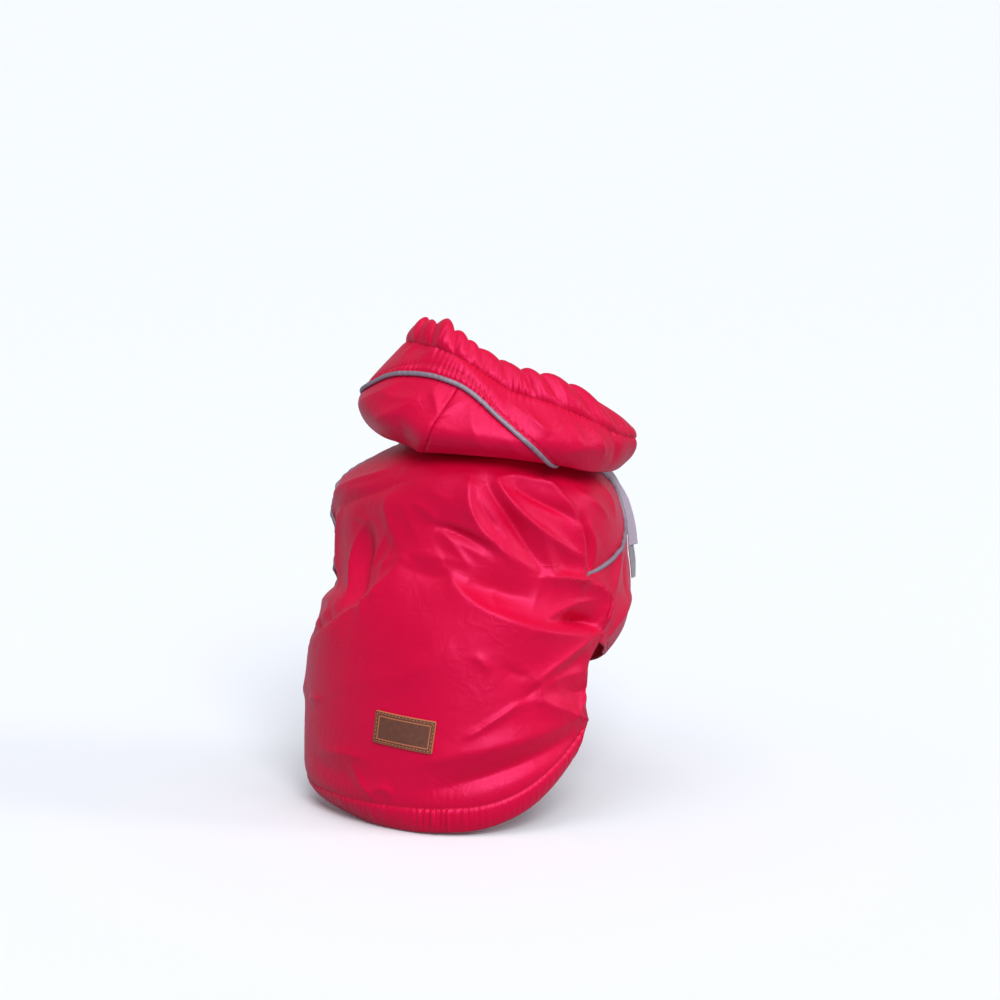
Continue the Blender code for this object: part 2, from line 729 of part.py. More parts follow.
def piping_level(angle):
    return spline(angle, HOOD_PIPING["angle"], HOOD_PIPING["level"])


def crown_seam(level):
    return spline(level, CROWN_SEAM["level"], CROWN_SEAM["angle"])


def crown_grid(side):
    """Angles and levels of half the crown, from the neckline up to the piping."""
    end = HOOD_PIPING["angle"][0 if side == "left" else -1]
    near = np.linspace(0.0, 1.0, CROWN_COLUMNS[side] + 1)[None, :]
    if side == "right":
        near = near[:, ::-1]
    rise = np.linspace(0.0, 1.0, CROWN_ROWS + 1)[:, None] ** ROW_SPREAD
    level = 0 * near + 0 * rise
    for _ in range(6):
        angle = end + (crown_seam(level) - end) * near
        level = -1.0 + (piping_level(angle) + 1.0) * rise
    return angle, level


def parted(form, angle, level, axis, which, by):
    """Moves one border row or column of a grid sideways by a distance."""
    at = [slice(None), slice(None)]
    at[axis] = which
    at = tuple(at)
    angle[at], level[at] = shifted(form, angle[at].copy(), level[at].copy(), by, LEVEL_STEP)


def hood_crown(side):
    angle, level = crown_grid(side)
    seam = -1 if side == "left" else 0
    parted(hood_round, angle, level, 1, seam, SEAM_GAP / 2 if side == "left" else -SEAM_GAP / 2)
    parted(hood_round, angle, level, 0, -1, -SEAM_GAP / 2)
    wall(f"hood_crown_{side}", hood(angle, level), hood(angle, level, -WALL), RED)


def casing_level(angle):
    return ring_spline(angle, HOOD["angle"], HOOD["casing_level"])


def hood_front_band():
    """The strip in front of the piping, and the whole hood round the throat."""
    left, right = crown_grid("left")[0][-1], crown_grid("right")[0][-1]
    crown = np.concatenate([left, right[1:]])
    foot = piping_level(crown)
    moved_angle, moved_foot = shifted(hood_round, crown, foot, SEAM_GAP / 2, LEVEL_STEP)
    before = np.linspace(-180 + HOOD_PARTING, left[0] - 2.0, THROAT_COLUMNS["left"])
    after = np.linspace(right[-1] + 2.0, 180 - HOOD_PARTING, THROAT_COLUMNS["right"])
    bottom = np.concatenate([before, moved_angle, after])
    bottom_level = np.concatenate([0 * before - 1.0, moved_foot, 0 * after - 1.0])
    upper = np.concatenate([before, crown, after])
    rise = np.linspace(0.0, 1.0, BAND_ROWS + 1)[:, None] ** ROW_SPREAD
    top = casing_level(upper)
    angle = bottom + (upper - bottom) * rise
    level = bottom_level + (top - bottom_level) * rise
    parted(hood_round, angle, level, 0, -1, -SEAM_GAP)
    wall("hood_front_band", hood(angle, level), hood(angle, level, -WALL), RED)


RIM_GATHERS = 24
RIM_GATHER_DEPTH = 1.5


def hood_rim_casing():
    """The elastic's casing round the rim, its cloth bunched."""
    columns = RIM_GATHERS * COLUMNS_A_GATHER
    around = np.linspace(-180 + HOOD_PARTING, 180 - HOOD_PARTING, columns + 1)
    rise = np.linspace(0.0, 1.0, 4)[:, None]
    angle = around + 0 * rise
    level = casing_level(angle) + (1.0 - casing_level(angle)) * rise
    parted(hood_round, angle, level, 0, 0, SEAM_GAP / 2)
    wave = RIM_GATHER_DEPTH * gathers(RIM_GATHERS, COLUMNS_A_GATHER, 7) * np.sin(np.pi * (0.12 + 0.68 * rise))
    outer = hood(angle, level, wave)
    inner = hood(angle, level, -RIM_CASING_WALL)
    wall("hood_rim_casing", outer, inner, RED)


HOOD_PIPING_ENDS = (-111.0, 50.0)


def hood_piping():
    angle = np.linspace(*HOOD_PIPING_ENDS, 44)
    path = hood(angle, piping_level(angle), PIPING_LIFT)
    rod("hood_piping", path, PIPING_WIDTH / 2, PIPING_GREY)


for old in list(bpy.data.objects):
    bpy.data.objects.remove(old)

back_panel()
hem_casing()
for side in ("left", "right"):
    front_panel(side)
    armhole_binding(side)
    shoulder_piping(side)
    hood_crown(side)
ribbon_strip("chest_ribbon", RIBBON_TOP, RIBBON_FOOT, 4.5, 7.0, RIBBON_WIDTH, RIBBON_LILAC)
ribbon_strip("ribbon_tab", RIBBON_FOOT - SEAM_GAP, TAB_FOOT, 4.8, 5.8, TAB_WIDTH, PIPING_GREY)
hood_front_band()
hood_rim_casing()
hood_piping()
label_patch()
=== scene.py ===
"""A small dog's hooded raincoat as it is worn, the hood lying down round the neck, on a pale studio floor.

Sizes are in millimetres and degrees. An angle runs round the coat from the centre back (0) to its right side
as worn (90) and the chest (180), and a height is measured up from the lowest point of the hem.
"""

import math

import bmesh
import bpy
import numpy as np
from mathutils import Matrix, Vector


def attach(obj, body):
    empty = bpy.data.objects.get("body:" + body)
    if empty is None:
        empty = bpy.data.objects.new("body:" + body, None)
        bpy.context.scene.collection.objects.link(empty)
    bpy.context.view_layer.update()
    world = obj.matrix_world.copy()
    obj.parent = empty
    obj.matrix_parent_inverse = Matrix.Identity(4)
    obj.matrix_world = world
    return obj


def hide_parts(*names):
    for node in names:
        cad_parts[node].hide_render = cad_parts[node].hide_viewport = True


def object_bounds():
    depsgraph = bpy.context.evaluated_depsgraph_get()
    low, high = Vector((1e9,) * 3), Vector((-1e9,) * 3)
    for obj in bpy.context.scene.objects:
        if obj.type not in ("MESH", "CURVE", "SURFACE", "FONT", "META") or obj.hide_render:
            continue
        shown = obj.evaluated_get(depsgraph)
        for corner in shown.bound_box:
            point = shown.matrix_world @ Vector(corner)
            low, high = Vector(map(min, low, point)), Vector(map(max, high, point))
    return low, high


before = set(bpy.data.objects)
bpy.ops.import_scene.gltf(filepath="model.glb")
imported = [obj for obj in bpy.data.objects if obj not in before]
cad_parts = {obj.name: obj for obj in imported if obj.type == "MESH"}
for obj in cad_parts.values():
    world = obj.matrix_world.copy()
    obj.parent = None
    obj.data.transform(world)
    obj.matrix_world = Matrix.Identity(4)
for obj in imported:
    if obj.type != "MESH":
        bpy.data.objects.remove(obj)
cad_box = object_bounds()

# Back panel.
# The coat's largest piece of red satin-faced nylon, from the neckline over the shoulders and down the back to
# the gathered hem. It is cut flat, joined to the fronts at the side seams, and falls in folds as it is worn.

# the height of the part's origin, and the places along the body of the neckline and of the side seams' foot
NECK_HOLD = 245.0
NECKLINE = 275.0
SIDE_POINT = 120.0
# the cloth's thickness in metres, and how much of it goes round the body in a degree
CLOTH = 0.0008
BODY_ARC = 1.75
# the angles between which the back is cut
BACK_REACH = (-112.0, 120.0)


def table(columns, *rows):
    """A table by the names of its columns."""
    values = np.array(rows, float)
    return {name: values[:, k] for k, name in enumerate(columns.split())}


body_rings = table(
    "along height centre_x centre_y left right rear front",
    (0, 0, 0, 10, 108, 101, 95, 92),
    (12, 12, 0, 10, 110, 103, 95, 93),
    (24, 24, 0, 10, 110, 103, 95, 94),
    (63, 63, 0, 8, 110, 103, 95, 96),
    (108, 108, 0, -6, 110, 104, 103, 97),
    (122, 122, 0, -12, 107, 105, 106, 101),
    (137, 137, 0, -18, 101, 105, 107, 105),
    (150, 150, 0, -22, 94, 102, 105, 106),
    (165, 165, 0, -24, 97, 100, 100, 106),
    (182, 182, 0, -22, 99, 100, 92, 104),
    (200, 200, 0, -18, 101, 98, 84, 100),
    (220, 217, -2, -15, 97, 90, 79, 92),
    (236, 229, -5, -14, 83, 75, 74, 74),
    (248, 237, -7, -13, 71, 62, 67, 61),
    (262, 243, -9, -12, 58, 52, 58, 52),
    (275, 246, -10, -12, 46, 46, 47, 47),
)
side_seams = table(
    "along right left",
    (48, 79, -97),
    (66, 80.5, -95),
    (82, 76.5, -92),
    (95, 76, -90),
    (108, 75, -89),
    (120, 78, -90),
    (135, 78.5, -80),
    (149, 78.5, -71),
    (156, 76, -68),
    (160, 70, -67),
    (163, 67, -67),
    (168, 80, -67),
    (178, 97, -67),
    (187, 108, -69),
    (204, 116, -76),
    (222, 118, -88),
    (236, 117, -98),
    (248, 116, -104),
    (262, 112, -107),
    (275, 108, -109),
)
hem_line = table(
    "angle height drawn_in",
    (-95.7, 42.5, 10),
    (-88, 22, 12),
    (-75, 6, 15),
    (-55, 0, 16),
    (-30, 0, 14),
    (-8, 0, 8),
    (14, 1, 3),
    (36, 5, 3),
    (45, 10, 4),
    (61, 25, 5),
    (71, 37, 6),
    (80, 50, 6),
)
hem_start, hem_end = hem_line["angle"][[0, -1]]
# how deep the hem's tunnel is, how far the skirt goes into it, and over what height it is drawn in
CASING_WIDTH = 17.0
TURNED_IN = 1.5
HEM_TUCK_REACH = 26.0
hem_draw = table(
    "angle strength",
    (-97, 0.7),
    (-60, 0.3),
    (-36, 0.2),
    (-14, 0.45),
    (4, 0.3),
    (11, 1.0),
    (24, 1.0),
    (31, 0.25),
    (52, 0.2),
    (66, 0.4),
    (80, 0.9),
)


def cubic(t, width, start, end, start_slope, end_slope):
    """The curve between two values that leaves and meets them at their slopes."""
    return (
        (1 + 2 * t) * (1 - t) ** 2 * start
        + t**2 * (3 - 2 * t) * end
        + width * t * (1 - t) * ((1 - t) * start_slope - t * end_slope)
    )


def spline(at, knots, values):
    """A smooth curve through values at rising knots, read at each place and level past its ends."""
    slopes = np.gradient(values, knots)
    k = np.clip(np.searchsorted(knots, at) - 1, 0, len(knots) - 2)
    width = knots[k + 1] - knots[k]
    t = np.clip((at - knots[k]) / width, 0.0, 1.0)
    return cubic(t, width, values[k], values[k + 1], slopes[k], slopes[k + 1])


def fade(low, high, at):
    """0 below low and 1 above high, with a smooth step between."""
    t = np.clip((at - low) / (high - low), 0.0, 1.0)
    return t * t * (3 - 2 * t)


def body_round(angle, along):
    """The body's plain form, before any fold."""
    turn = np.radians(angle)
    ring = {name: spline(along, body_rings["along"], body_rings[name]) for name in body_rings}
    side = np.where(np.sin(turn) > 0, ring["right"], ring["left"])
    depth = np.where(np.cos(turn) > 0, ring["rear"], ring["front"])
    x = ring["centre_x"] - side * np.sin(turn)
    y = ring["centre_y"] + depth * np.cos(turn)
    return np.stack([x, y, ring["height"]], axis=-1)


def outward(form, angle, level, rise=1.0):
    """The unit normals of a form, from points a little to each side."""
    round_way = form(angle + 0.5, level) - form(angle - 0.5, level)
    up_way = form(angle, level + rise) - form(angle, level - rise)
    normal = np.cross(round_way, up_way)
    return normal / np.linalg.norm(normal, axis=-1, keepdims=True)


# Each fold runs along a bowed line from its start to its end. left and right are how far it spreads to each
# side of the way it runs, depth how far it stands out, or in below 0, and crisp is 1 for a sharp crest and 2
# for a soft one.
FOLD_COLUMNS = "start_angle start_along bow_angle bow_along end_angle end_along left right depth crisp"
body_folds = table(
    FOLD_COLUMNS,
    # the band over the left shoulder
    (-68, 192, -32, 214, -12, 240, 5, 7, -2.8, 1.15),
    (-70, 203, -46, 226, -30, 242, 6, 5, 2.6, 1.3),
    (-52, 214, -40, 222, -30, 228, 3, 3, 0.9, 1.2),
    # the crest left of the middle, and the hollow beyond it
    (-20, 226, -17, 200, -5, 176, 14, 6, 3.4, 1.3),
    (-5, 182, -16, 146, -64, 101, 15, 6, 7.2, 1.2),
    (-29, 200, -30, 168, -27, 140, 10, 13, -8.0, 1.9),
    (-26, 201, -44, 178, -37, 142, 4, 5, 3.4, 1.15),
    (-16, 192, -28, 164, -21, 138, 3, 3.5, 2.8, 1.15),
    (-12, 186, -18, 166, -18, 148, 3, 3, 1.4, 1.2),
    (-23, 163, -16, 177, -7, 178, 3, 3, 1.3, 1.2),
    (-50, 204, -62, 176, -50, 146, 6, 7, 3.4, 1.3),
    (-30, 141, -46, 122, -67, 107, 4, 4, -2.8, 1.2),
    (-62, 114, -50, 130, -36, 143, 7, 7, 3.4, 1.6),
    (-63, 126, -57, 117, -55, 109, 2.5, 2.5, -1.3, 1.2),
    (-55, 134, -49, 125, -47, 116, 2.5, 2.5, -1.3, 1.2),
    (-47, 140, -41, 133, -39, 125, 2.5, 2.5, -1.1, 1.2),
    # small soft creases over the middle of the back
    (-12, 221, -6, 206, 0, 187, 5, 5, 1.1, 1.4),
    (-6, 218, 1, 215, 8, 201, 3, 4, 1.1, 1.3),
    (-1, 177, 8, 185, 21, 175, 3, 5, 1.3, 1.3),
    (-8, 176, 1, 187, 9, 182, 3, 4, 1.0, 1.3),
    (-8, 175, 3, 166, 15, 169, 5, 5, -1.7, 1.4),
    (-2, 232, 4, 224, 12, 222, 5, 5, 0.8, 1.4),
    # the deep crease right of the middle, and its lips
    (4, 202, 17, 198, 31, 183, 3.4, 4.2, -5.0, 1.1),
    (8, 196, 16, 191, 27, 180, 3, 3, 1.5, 1.2),
    (8, 206, 18, 202, 31, 190, 3, 4, 1.2, 1.3),
    (7, 200, 13, 189, 21, 175, 2.5, 3.5, 1.7, 1.15),
    # the two big folds that fall from the neckline towards the right side
    (20, 243, 13, 196, 49, 170, 6, 10, 5.6, 1.2),
    (22, 224, 26, 205, 34, 191, 3, 3, -1.6, 1.3),
    (28, 238, 34, 204, 49, 172, 5.5, 5.5, -5.4, 1.5),
    (34, 241, 34, 208, 67, 177, 4, 6, 6.2, 1.1),
    (33, 239, 46, 248, 66, 224, 5, 4, 3.4, 1.2),
    (55, 239, 57, 231, 65, 227, 2.5, 2.5, 1.4, 1.2),
    (41, 234, 52, 220, 67, 201, 6, 5, -5.4, 1.5),
    (47, 202, 50, 182, 55, 160, 5, 4, 2.7, 1.15),
    (52, 191, 58, 176, 62, 165, 5, 5, -1.6, 1.7),
    # the pleat beside the shoulder, and the cloth between it and the piping
    (57, 236, 71, 206, 65, 155, 3, 8, 6.4, 1.1),
    (68, 210, 72, 186, 71, 161, 4, 3.5, -4.6, 1.4),
    (72, 202, 78, 182, 71, 167, 4, 4, 2.2, 1.3),
    (75, 225, 82, 212, 90, 199, 4, 4, 2.4, 1.2),
    (96, 226, 100, 212, 96, 196, 5, 5, 1.6, 1.4),
    # the flap over the side, the dark pocket under it, and the long crest that runs to it
    (50, 168, 88, 161, 78, 127, 4, 8, 10.5, 1.2),
    (75, 147, 58, 151, 47, 135, 5, 3.5, 3.0, 1.15),
    (48, 140, 58, 140, 70, 136, 4, 3.5, -3.0, 1.3),
    (58, 141, 69, 138, 76, 130, 3.6, 3, -11.5, 1.2),
    (31, 148, 38, 141, 49, 137, 2.5, 3, 1.3, 1.15),
    (19, 165, 33, 160, 47, 152, 8, 7, -4.4, 1.7),
    (30, 161, 30, 151, 35, 146, 3, 3, 1.1, 1.3),
    (12, 173, 26, 134, 79, 125, 4, 15, 7.4, 1.1),
    (45, 134, 60, 131, 77, 128, 2, 2, 1.0, 1.15),
    # the skirt, smooth in the middle and creased towards its gathered corner
    (-4, 100, 10, 117, 20, 125, 9, 9, 1.2, 1.6),
    (-32, 88, -6, 104, 14, 111, 10, 10, 0.8, 1.7),
    (25, 120, 30, 117, 32, 109, 2.2, 2.2, 1.8, 1.15),
    (37, 115, 40, 106, 47, 105, 3, 3, -1.4, 1.2),
    (73, 125, 62, 117, 50, 100, 5, 4, 3.4, 1.15),
    (47, 109, 55, 97, 53, 85, 3, 3.5, 2.3, 1.15),
    (53, 101, 50, 94, 45, 90, 3, 3, -1.6, 1.3),
    (71, 118, 66, 108, 60, 98, 8, 8, -2.2, 1.7),
    (55, 97, 64, 106, 75, 101, 3.5, 4, 2.0, 1.2),
    (52, 90, 63, 81, 74, 74, 4, 6, 4.0, 1.1),
    (68, 77, 74, 72, 81, 68, 3, 3, 2.2, 1.2),
    (63, 95, 72, 88, 79, 90, 4, 4, -2.6, 1.4),
    (71, 75, 79, 84, 75, 96, 2.5, 3, 2.0, 1.2),
    (11, 30, 44, 43, 74, 63, 8, 6, -5.0, 1.6),
    (3, 46, 34, 60, 71, 72, 9, 7, 2.8, 1.5),
    (-40, 43, -26, 49, -13, 47, 4, 4, 1.8, 1.4),
    (-20, 41, -16, 28, -9, 20, 3, 4, 2.0, 1.2),
    (-12, 23, -5, 34, -2, 23, 3, 3, 2.2, 1.15),
    (-46, 37, -30, 30, -13, 34, 7, 7, -1.6, 1.7),
    (-52, 74, -45, 77, -39, 78, 2, 2, 1.7, 1.2),
    # the left side
    (-54, 162, -80, 154, -90, 126, 6, 10, 5.0, 1.3),
    (-34, 146, -62, 138, -91, 121, 6, 10, 3.6, 1.4),
    (-64, 204, -80, 178, -72, 150, 5, 9, 3.2, 1.3),
    (-78, 214, -90, 190, -88, 160, 5, 7, 2.6, 1.3),
    (-60, 150, -74, 146, -84, 132, 4, 4, -3.0, 1.4),
    (-70, 112, -80, 92, -93, 74, 5, 9, 3.2, 1.2),
    (-66, 100, -78, 84, -92, 70, 4, 4, -2.0, 1.3),
    (-60, 84, -76, 64, -92, 58, 5, 8, 2.6, 1.3),
    (-72, 46, -82, 56, -94, 58, 3, 4, 1.8, 1.3),
    # the fronts
    (99, 180, 90, 165, 88, 146, 6, 5, 3.2, 1.2),
    (106, 170, 100, 158, 102, 140, 5, 5, -2.2, 1.4),
    (113, 140, 94, 136, 85, 119, 5, 5, 3.0, 1.2),
    (126, 168, 120, 150, 124, 128, 6, 6, 2.0, 1.5),
    (150, 252, 138, 222, 128, 188, 5, 10, 3.0, 1.3),
    (140, 244, 126, 224, 122, 200, 5, 5, -2.0, 1.5),
    (176, 226, 166, 200, 158, 172, 6, 6, 2.6, 1.3),
    (172, 168, 168, 140, 170, 110, 6, 6, 1.8, 1.5),
    (164, 118, 150, 100, 136, 96, 5, 5, 1.8, 1.3),
    (-150, 252, -136, 218, -124, 186, 10, 5, 3.0, 1.3),
    (-138, 244, -126, 222, -122, 200, 5, 5, -2.0, 1.5),
    (-168, 230, -160, 204, -162, 172, 6, 6, 2.6, 1.3),
    (-172, 160, -166, 136, -170, 110, 6, 6, 1.8, 1.5),
    (-100, 178, -108, 160, -106, 136, 8, 5, 3.0, 1.2),
    (-80, 136, -100, 128, -116, 108, 5, 8, 2.8, 1.2),
    (-126, 168, -120, 150, -124, 128, 6, 6, 2.0, 1.5),
    (-164, 118, -150, 100, -136, 96, 5, 5, 1.8, 1.3),
    # the fine parallel arcs drawn by the elastic towards the gathered corner
    *(
        (24 + 1.8 * k, 64 + 2.1 * k, 27 + 2.1 * k, 71 + 2.4 * k, 30 + 2.4 * k, 68 + 2 * k, 1.5, 1.8, 0.8, 1.5)
        for k in range(10)
    ),
)
# how many points a fold's line is followed through, how many times its spread it is felt, and how it tapers
FOLD_STEPS = 33
FOLD_FELT = 3.2
FOLD_TAPER = 0.6


def relief(x, y, folds, arc, rise):
    """How far the folds stand out at places x, y, which are in millimetres round and along the cloth."""
    total = np.zeros(x.shape)
    t = np.linspace(0.0, 1.0, FOLD_STEPS)
    for k in range(len(folds["depth"])):
        start, bow, end = (
            np.array([folds[f"{place}_angle"][k] * arc, folds[f"{place}_along"][k] * rise])
            for place in ("start", "bow", "end")
        )
        path = (1 - t)[:, None] ** 2 * start + 2 * (t * (1 - t))[:, None] * bow + t[:, None] ** 2 * end
        reach = FOLD_FELT * max(folds["left"][k], folds["right"][k])
        near = (x > path[:, 0].min() - reach) & (x < path[:, 0].max() + reach)
        near &= (y > path[:, 1].min() - reach) & (y < path[:, 1].max() + reach)
        if not near.any():
            continue
        px, py = x[near], y[near]
        best = np.full(px.shape, np.inf)
        part = np.zeros(px.shape)
        side = np.zeros(px.shape)
        for j in range(len(t) - 1):
            step = path[j + 1] - path[j]
            from_x, from_y = px - path[j, 0], py - path[j, 1]
            along = np.clip((from_x * step[0] + from_y * step[1]) / (step @ step), 0.0, 1.0)
            dx, dy = from_x - along * step[0], from_y - along * step[1]
            gap = np.hypot(dx, dy)
            closer = gap < best
            best = np.where(closer, gap, best)
            part = np.where(closer, (j + along) / (len(t) - 1), part)
            side = np.where(closer, step[0] * dy - step[1] * dx, side)
        spread = np.where(side > 0, folds["left"][k], folds["right"][k])
        ends = np.sin(np.pi * np.clip(part, 0.02, 0.98)) ** FOLD_TAPER
        total[near] += folds["depth"][k] * ends * np.exp(-((best / spread) ** folds["crisp"][k]))
    return total


def puckers(gap, way, spacing, reach, seed):
    """Small uneven ripples beside a sewn line, gap from it and way along it."""
    phase = np.random.default_rng(seed).uniform(0.0, 2 * np.pi, 3)
    turns = 2 * np.pi * way / spacing
    ripple = np.sin(turns + phase[0] + 1.3 * np.sin(turns / 5.3 + phase[1]))
    size = 0.6 + 0.4 * np.sin(turns / 8.1 + phase[2])
    return ripple * size * np.exp(-np.abs(gap) / reach)


def groove(gap, width):
    """1 on a sewn line, where the thread pulls the cloth in, and 0 away from it."""
    return np.exp(-((gap / width) ** 2))


def side_line(side, along):
    return spline(along, side_seams["along"], side_seams[side])


def seam_gap(angle, along, side):
    """The distance from a side seam, measured over the cloth."""
    lean = side_line(side, along + 1) - side_line(side, along - 1)
    return (angle - side_line(side, along)) * BODY_ARC / np.hypot(1.0, 0.5 * BODY_ARC * lean)


def hem_height(angle):
    return spline(angle, hem_line["angle"], hem_line["height"])


# the height, spacing and reach of the ripples beside the side seams and above the hem's casing, and the depth
# and half width of the groove along each
side_sewing = {"ripple": 0.3, "spacing": 5.0, "reach": 4.0, "groove": 0.7, "half": 1.3}
casing_sewing = {"ripple": 0.75, "spacing": 4.2, "reach": 5.5, "drawn_reach": 4.0, "groove": 0.5, "half": 1.3}


def sewn_lines(angle, along):
    """What the seams do to the body's cloth: a groove along each one, and ripples beside it."""
    total = np.zeros(angle.shape)
    above = fade(SIDE_POINT - 4.0, SIDE_POINT + 6.0, along)
    for side, seed in (("right", 3), ("left", 4)):
        gap = seam_gap(angle, along, side)
        ripples = puckers(gap, along, side_sewing["spacing"], side_sewing["reach"], seed)
        sunk = side_sewing["groove"] * groove(gap, side_sewing["half"])
        total += above * (side_sewing["ripple"] * ripples - sunk)
    gap = along - hem_height(angle) - CASING_WIDTH
    on_back = fade(-99.0, -95.0, angle) * fade(83.0, 80.0, angle)
    drawn = np.interp(angle, hem_draw["angle"], hem_draw["strength"])
    reach = casing_sewing["reach"] + casing_sewing["drawn_reach"] * drawn
    ripples = puckers(gap, angle * BODY_ARC, casing_sewing["spacing"], reach, 5)
    sunk = casing_sewing["groove"] * groove(gap, casing_sewing["half"])
    return total + on_back * (casing_sewing["ripple"] * drawn * ripples - sunk)


def body(angle, along, out=0.0):
    """The body's outer face with its folds and seams, moved out, in millimetres."""
    folds = relief(angle * BODY_ARC, along, body_folds, BODY_ARC, 1.0) * fade(262.0, 244.0, along)
    lift = folds + sewn_lines(angle, along) + out
    return body_round(angle, along) + outward(body_round, angle, along) * lift[..., None]


def hem_tuck(angle, along):
    """How far the skirt is drawn in near its hem."""
    above = np.clip((along - hem_height(angle)) / HEM_TUCK_REACH, 0.0, 1.0)
    return spline(angle, hem_line["angle"], hem_line["drawn_in"]) * (1 - above) ** 2


def skirt(angle, along, out=0.0):
    """The body's outer face, drawn in towards the hem."""
    tuck = np.where(along < SIDE_POINT, hem_tuck(angle, along), 0.0)
    return body(angle, along, out - tuck)


def show(name, mesh, finish, nodes, wall=0.0):
    """Puts a finished mesh in the coat: its material, its wall, and the CAD solids that it stands for."""
    mesh.shade_smooth()
    mesh.materials.append(finish)
    piece = bpy.data.objects.new(name, mesh)
    bpy.context.collection.objects.link(piece)
    if wall:
        solid = piece.modifiers.new("wall", "SOLIDIFY")
        solid.thickness = wall
        solid.offset = -1.0
    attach(piece, "root")
    if nodes:
        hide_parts(*nodes)
    return piece


def new_sheet():
    sheet = bmesh.new()
    sheet.loops.layers.uv.new("UVMap")
    return sheet


def as_mesh(name, sheet):
    """The mesh of a finished sheet, which is then let go."""
    mesh = bpy.data.meshes.new(name)
    sheet.to_mesh(mesh)
    sheet.free()
    return mesh


def cut_cloth(name, columns, rows, cut, place, grain, shape=None):
    """Cloth cut as a flat grid and trimmed to shape, each point then taken to its place on the worn form."""
    sheet = new_sheet()
    bmesh.ops.create_grid(sheet, x_segments=columns, y_segments=rows, size=0.5, calc_uvs=True)
    across = np.array([vert.co.x + 0.5 for vert in sheet.verts])
    up = np.array([vert.co.y + 0.5 for vert in sheet.verts])
    for vert, angle, level in zip(sheet.verts, *cut(across, up)):
        vert.co = (angle, level, 0.0)
    if shape:
        shape(sheet)
    mesh = as_mesh(name, sheet)
    flat = np.empty(3 * len(mesh.vertices))
    mesh.vertices.foreach_get("co", flat)
    flat = flat.reshape(-1, 3)[:, :2]
    points = (place(flat[:, 0], flat[:, 1]) - [0, 0, NECK_HOLD]) / 1000
    mesh.vertices.foreach_set("co", points.ravel())
    corners = np.empty(len(mesh.loops), int)
    mesh.loops.foreach_get("vertex_index", corners)
    mesh.uv_layers[0].data.foreach_set("uv", (flat * grain / 1000)[corners].ravel())
    mesh.update()
    return mesh


def cut_away(sheet, outside):
    """Cuts away the flat cloth outside a line, and gives the points left along it."""
    gone = [face for face in sheet.faces if outside(face.calc_center_median())]
    edge = {vert for face in gone for vert in face.verts}
    bmesh.ops.delete(sheet, geom=gone, context="FACES")
    return [vert for vert in edge if vert.is_valid]


def trim(sheet, outside, line):
    """Cuts away the flat cloth beyond a seam, and draws the new edge onto the seam's line."""
    for vert in cut_away(sheet, outside):
        gaps = np.hypot((line[:, 0] - vert.co.x) * BODY_ARC, line[:, 1] - vert.co.y)
        vert.co.xy = line[gaps.argmin()]
    bmesh.ops.dissolve_degenerate(sheet, dist=0.02, edges=sheet.edges)


def seam_points(side):
    along = np.linspace(side_seams["along"][0] - 30, NECKLINE, 900)
    return np.stack([side_line(side, along), along], axis=1)


seams = {side: seam_points(side) for side in ("left", "right")}


def seam_angle(side, along):
    return np.interp(along, seams[side][:, 1], seams[side][:, 0])


def new_finish(name):
    """A new material, with its node tree and its shader."""
    finish = bpy.data.materials.new(name)
    finish.use_nodes = True
    return finish, finish.node_tree, finish.node_tree.nodes["Principled BSDF"]


def add(tree, kind, **inputs):
    """A new shader node with its plain values set."""
    node = tree.nodes.new(f"ShaderNode{kind}")
    for name, value in inputs.items():
        node.inputs[name.replace("_", " ")].default_value = value
    return node


def place_of(tree, kind):
    """Where a point is, on the object or on the flat cloth."""
    return tree.nodes.new("ShaderNodeTexCoord").outputs[kind]


def texture(tree, kind, place, **inputs):
    """A texture node with its plain values set, read at a place."""
    node = add(tree, f"Tex{kind}", **inputs)
    tree.links.new(place, node.inputs["Vector"])
    return node


def dress(tree, shader, **sockets):
    """Links a finish's worked-out sockets to its shader."""
    for name, socket in sockets.items():
        tree.links.new(socket, shader.inputs[name.replace("_", " ")])


def math_node(tree, operation, *values):
    """A math node, fed by sockets or plain numbers."""
    node = tree.nodes.new("ShaderNodeMath")
    node.operation = operation
    for socket, value in zip(node.inputs, values):
        if isinstance(value, bpy.types.NodeSocket):
            tree.links.new(value, socket)
        else:
            socket.default_value = value
    return node.outputs[0]


def build_weave():
    """A plain weave: threads that cross over and under, so many to the metre each way."""
    group = bpy.data.node_groups.new("plain_weave", "ShaderNodeTree")
    group.interface.new_socket("Place", in_out="INPUT", socket_type="NodeSocketVector")
    group.interface.new_socket("Threads", in_out="INPUT", socket_type="NodeSocketFloat")
    group.interface.new_socket("Height", in_out="OUTPUT", socket_type="NodeSocketFloat")
    given = group.nodes.new("NodeGroupInput")
    parts = add(group, "SeparateXYZ")
    group.links.new(given.outputs["Place"], parts.inputs[0])
    waves = []
    for axis in ("X", "Y"):
        turn = math_node(group, "MULTIPLY", parts.outputs[axis], given.outputs["Threads"])
        waves.append(math_node(group, "SINE", math_node(group, "MULTIPLY", turn, math.pi)))
    over = math_node(group, "SIGN", math_node(group, "MULTIPLY", waves[0], waves[1]))
    share = math_node(group, "MULTIPLY_ADD", over, 0.5, 0.5)
    other_share = math_node(group, "SUBTRACT", 1.0, share)
    warp = math_node(group, "MULTIPLY", math_node(group, "ABSOLUTE", waves[0]), share)
    weft = math_node(group, "MULTIPLY", math_node(group, "ABSOLUTE", waves[1]), other_share)
    made = group.nodes.new("NodeGroupOutput")
    group.links.new(math_node(group, "MAXIMUM", warp, weft), made.inputs["Height"])
    return group


plain_weave = build_weave()


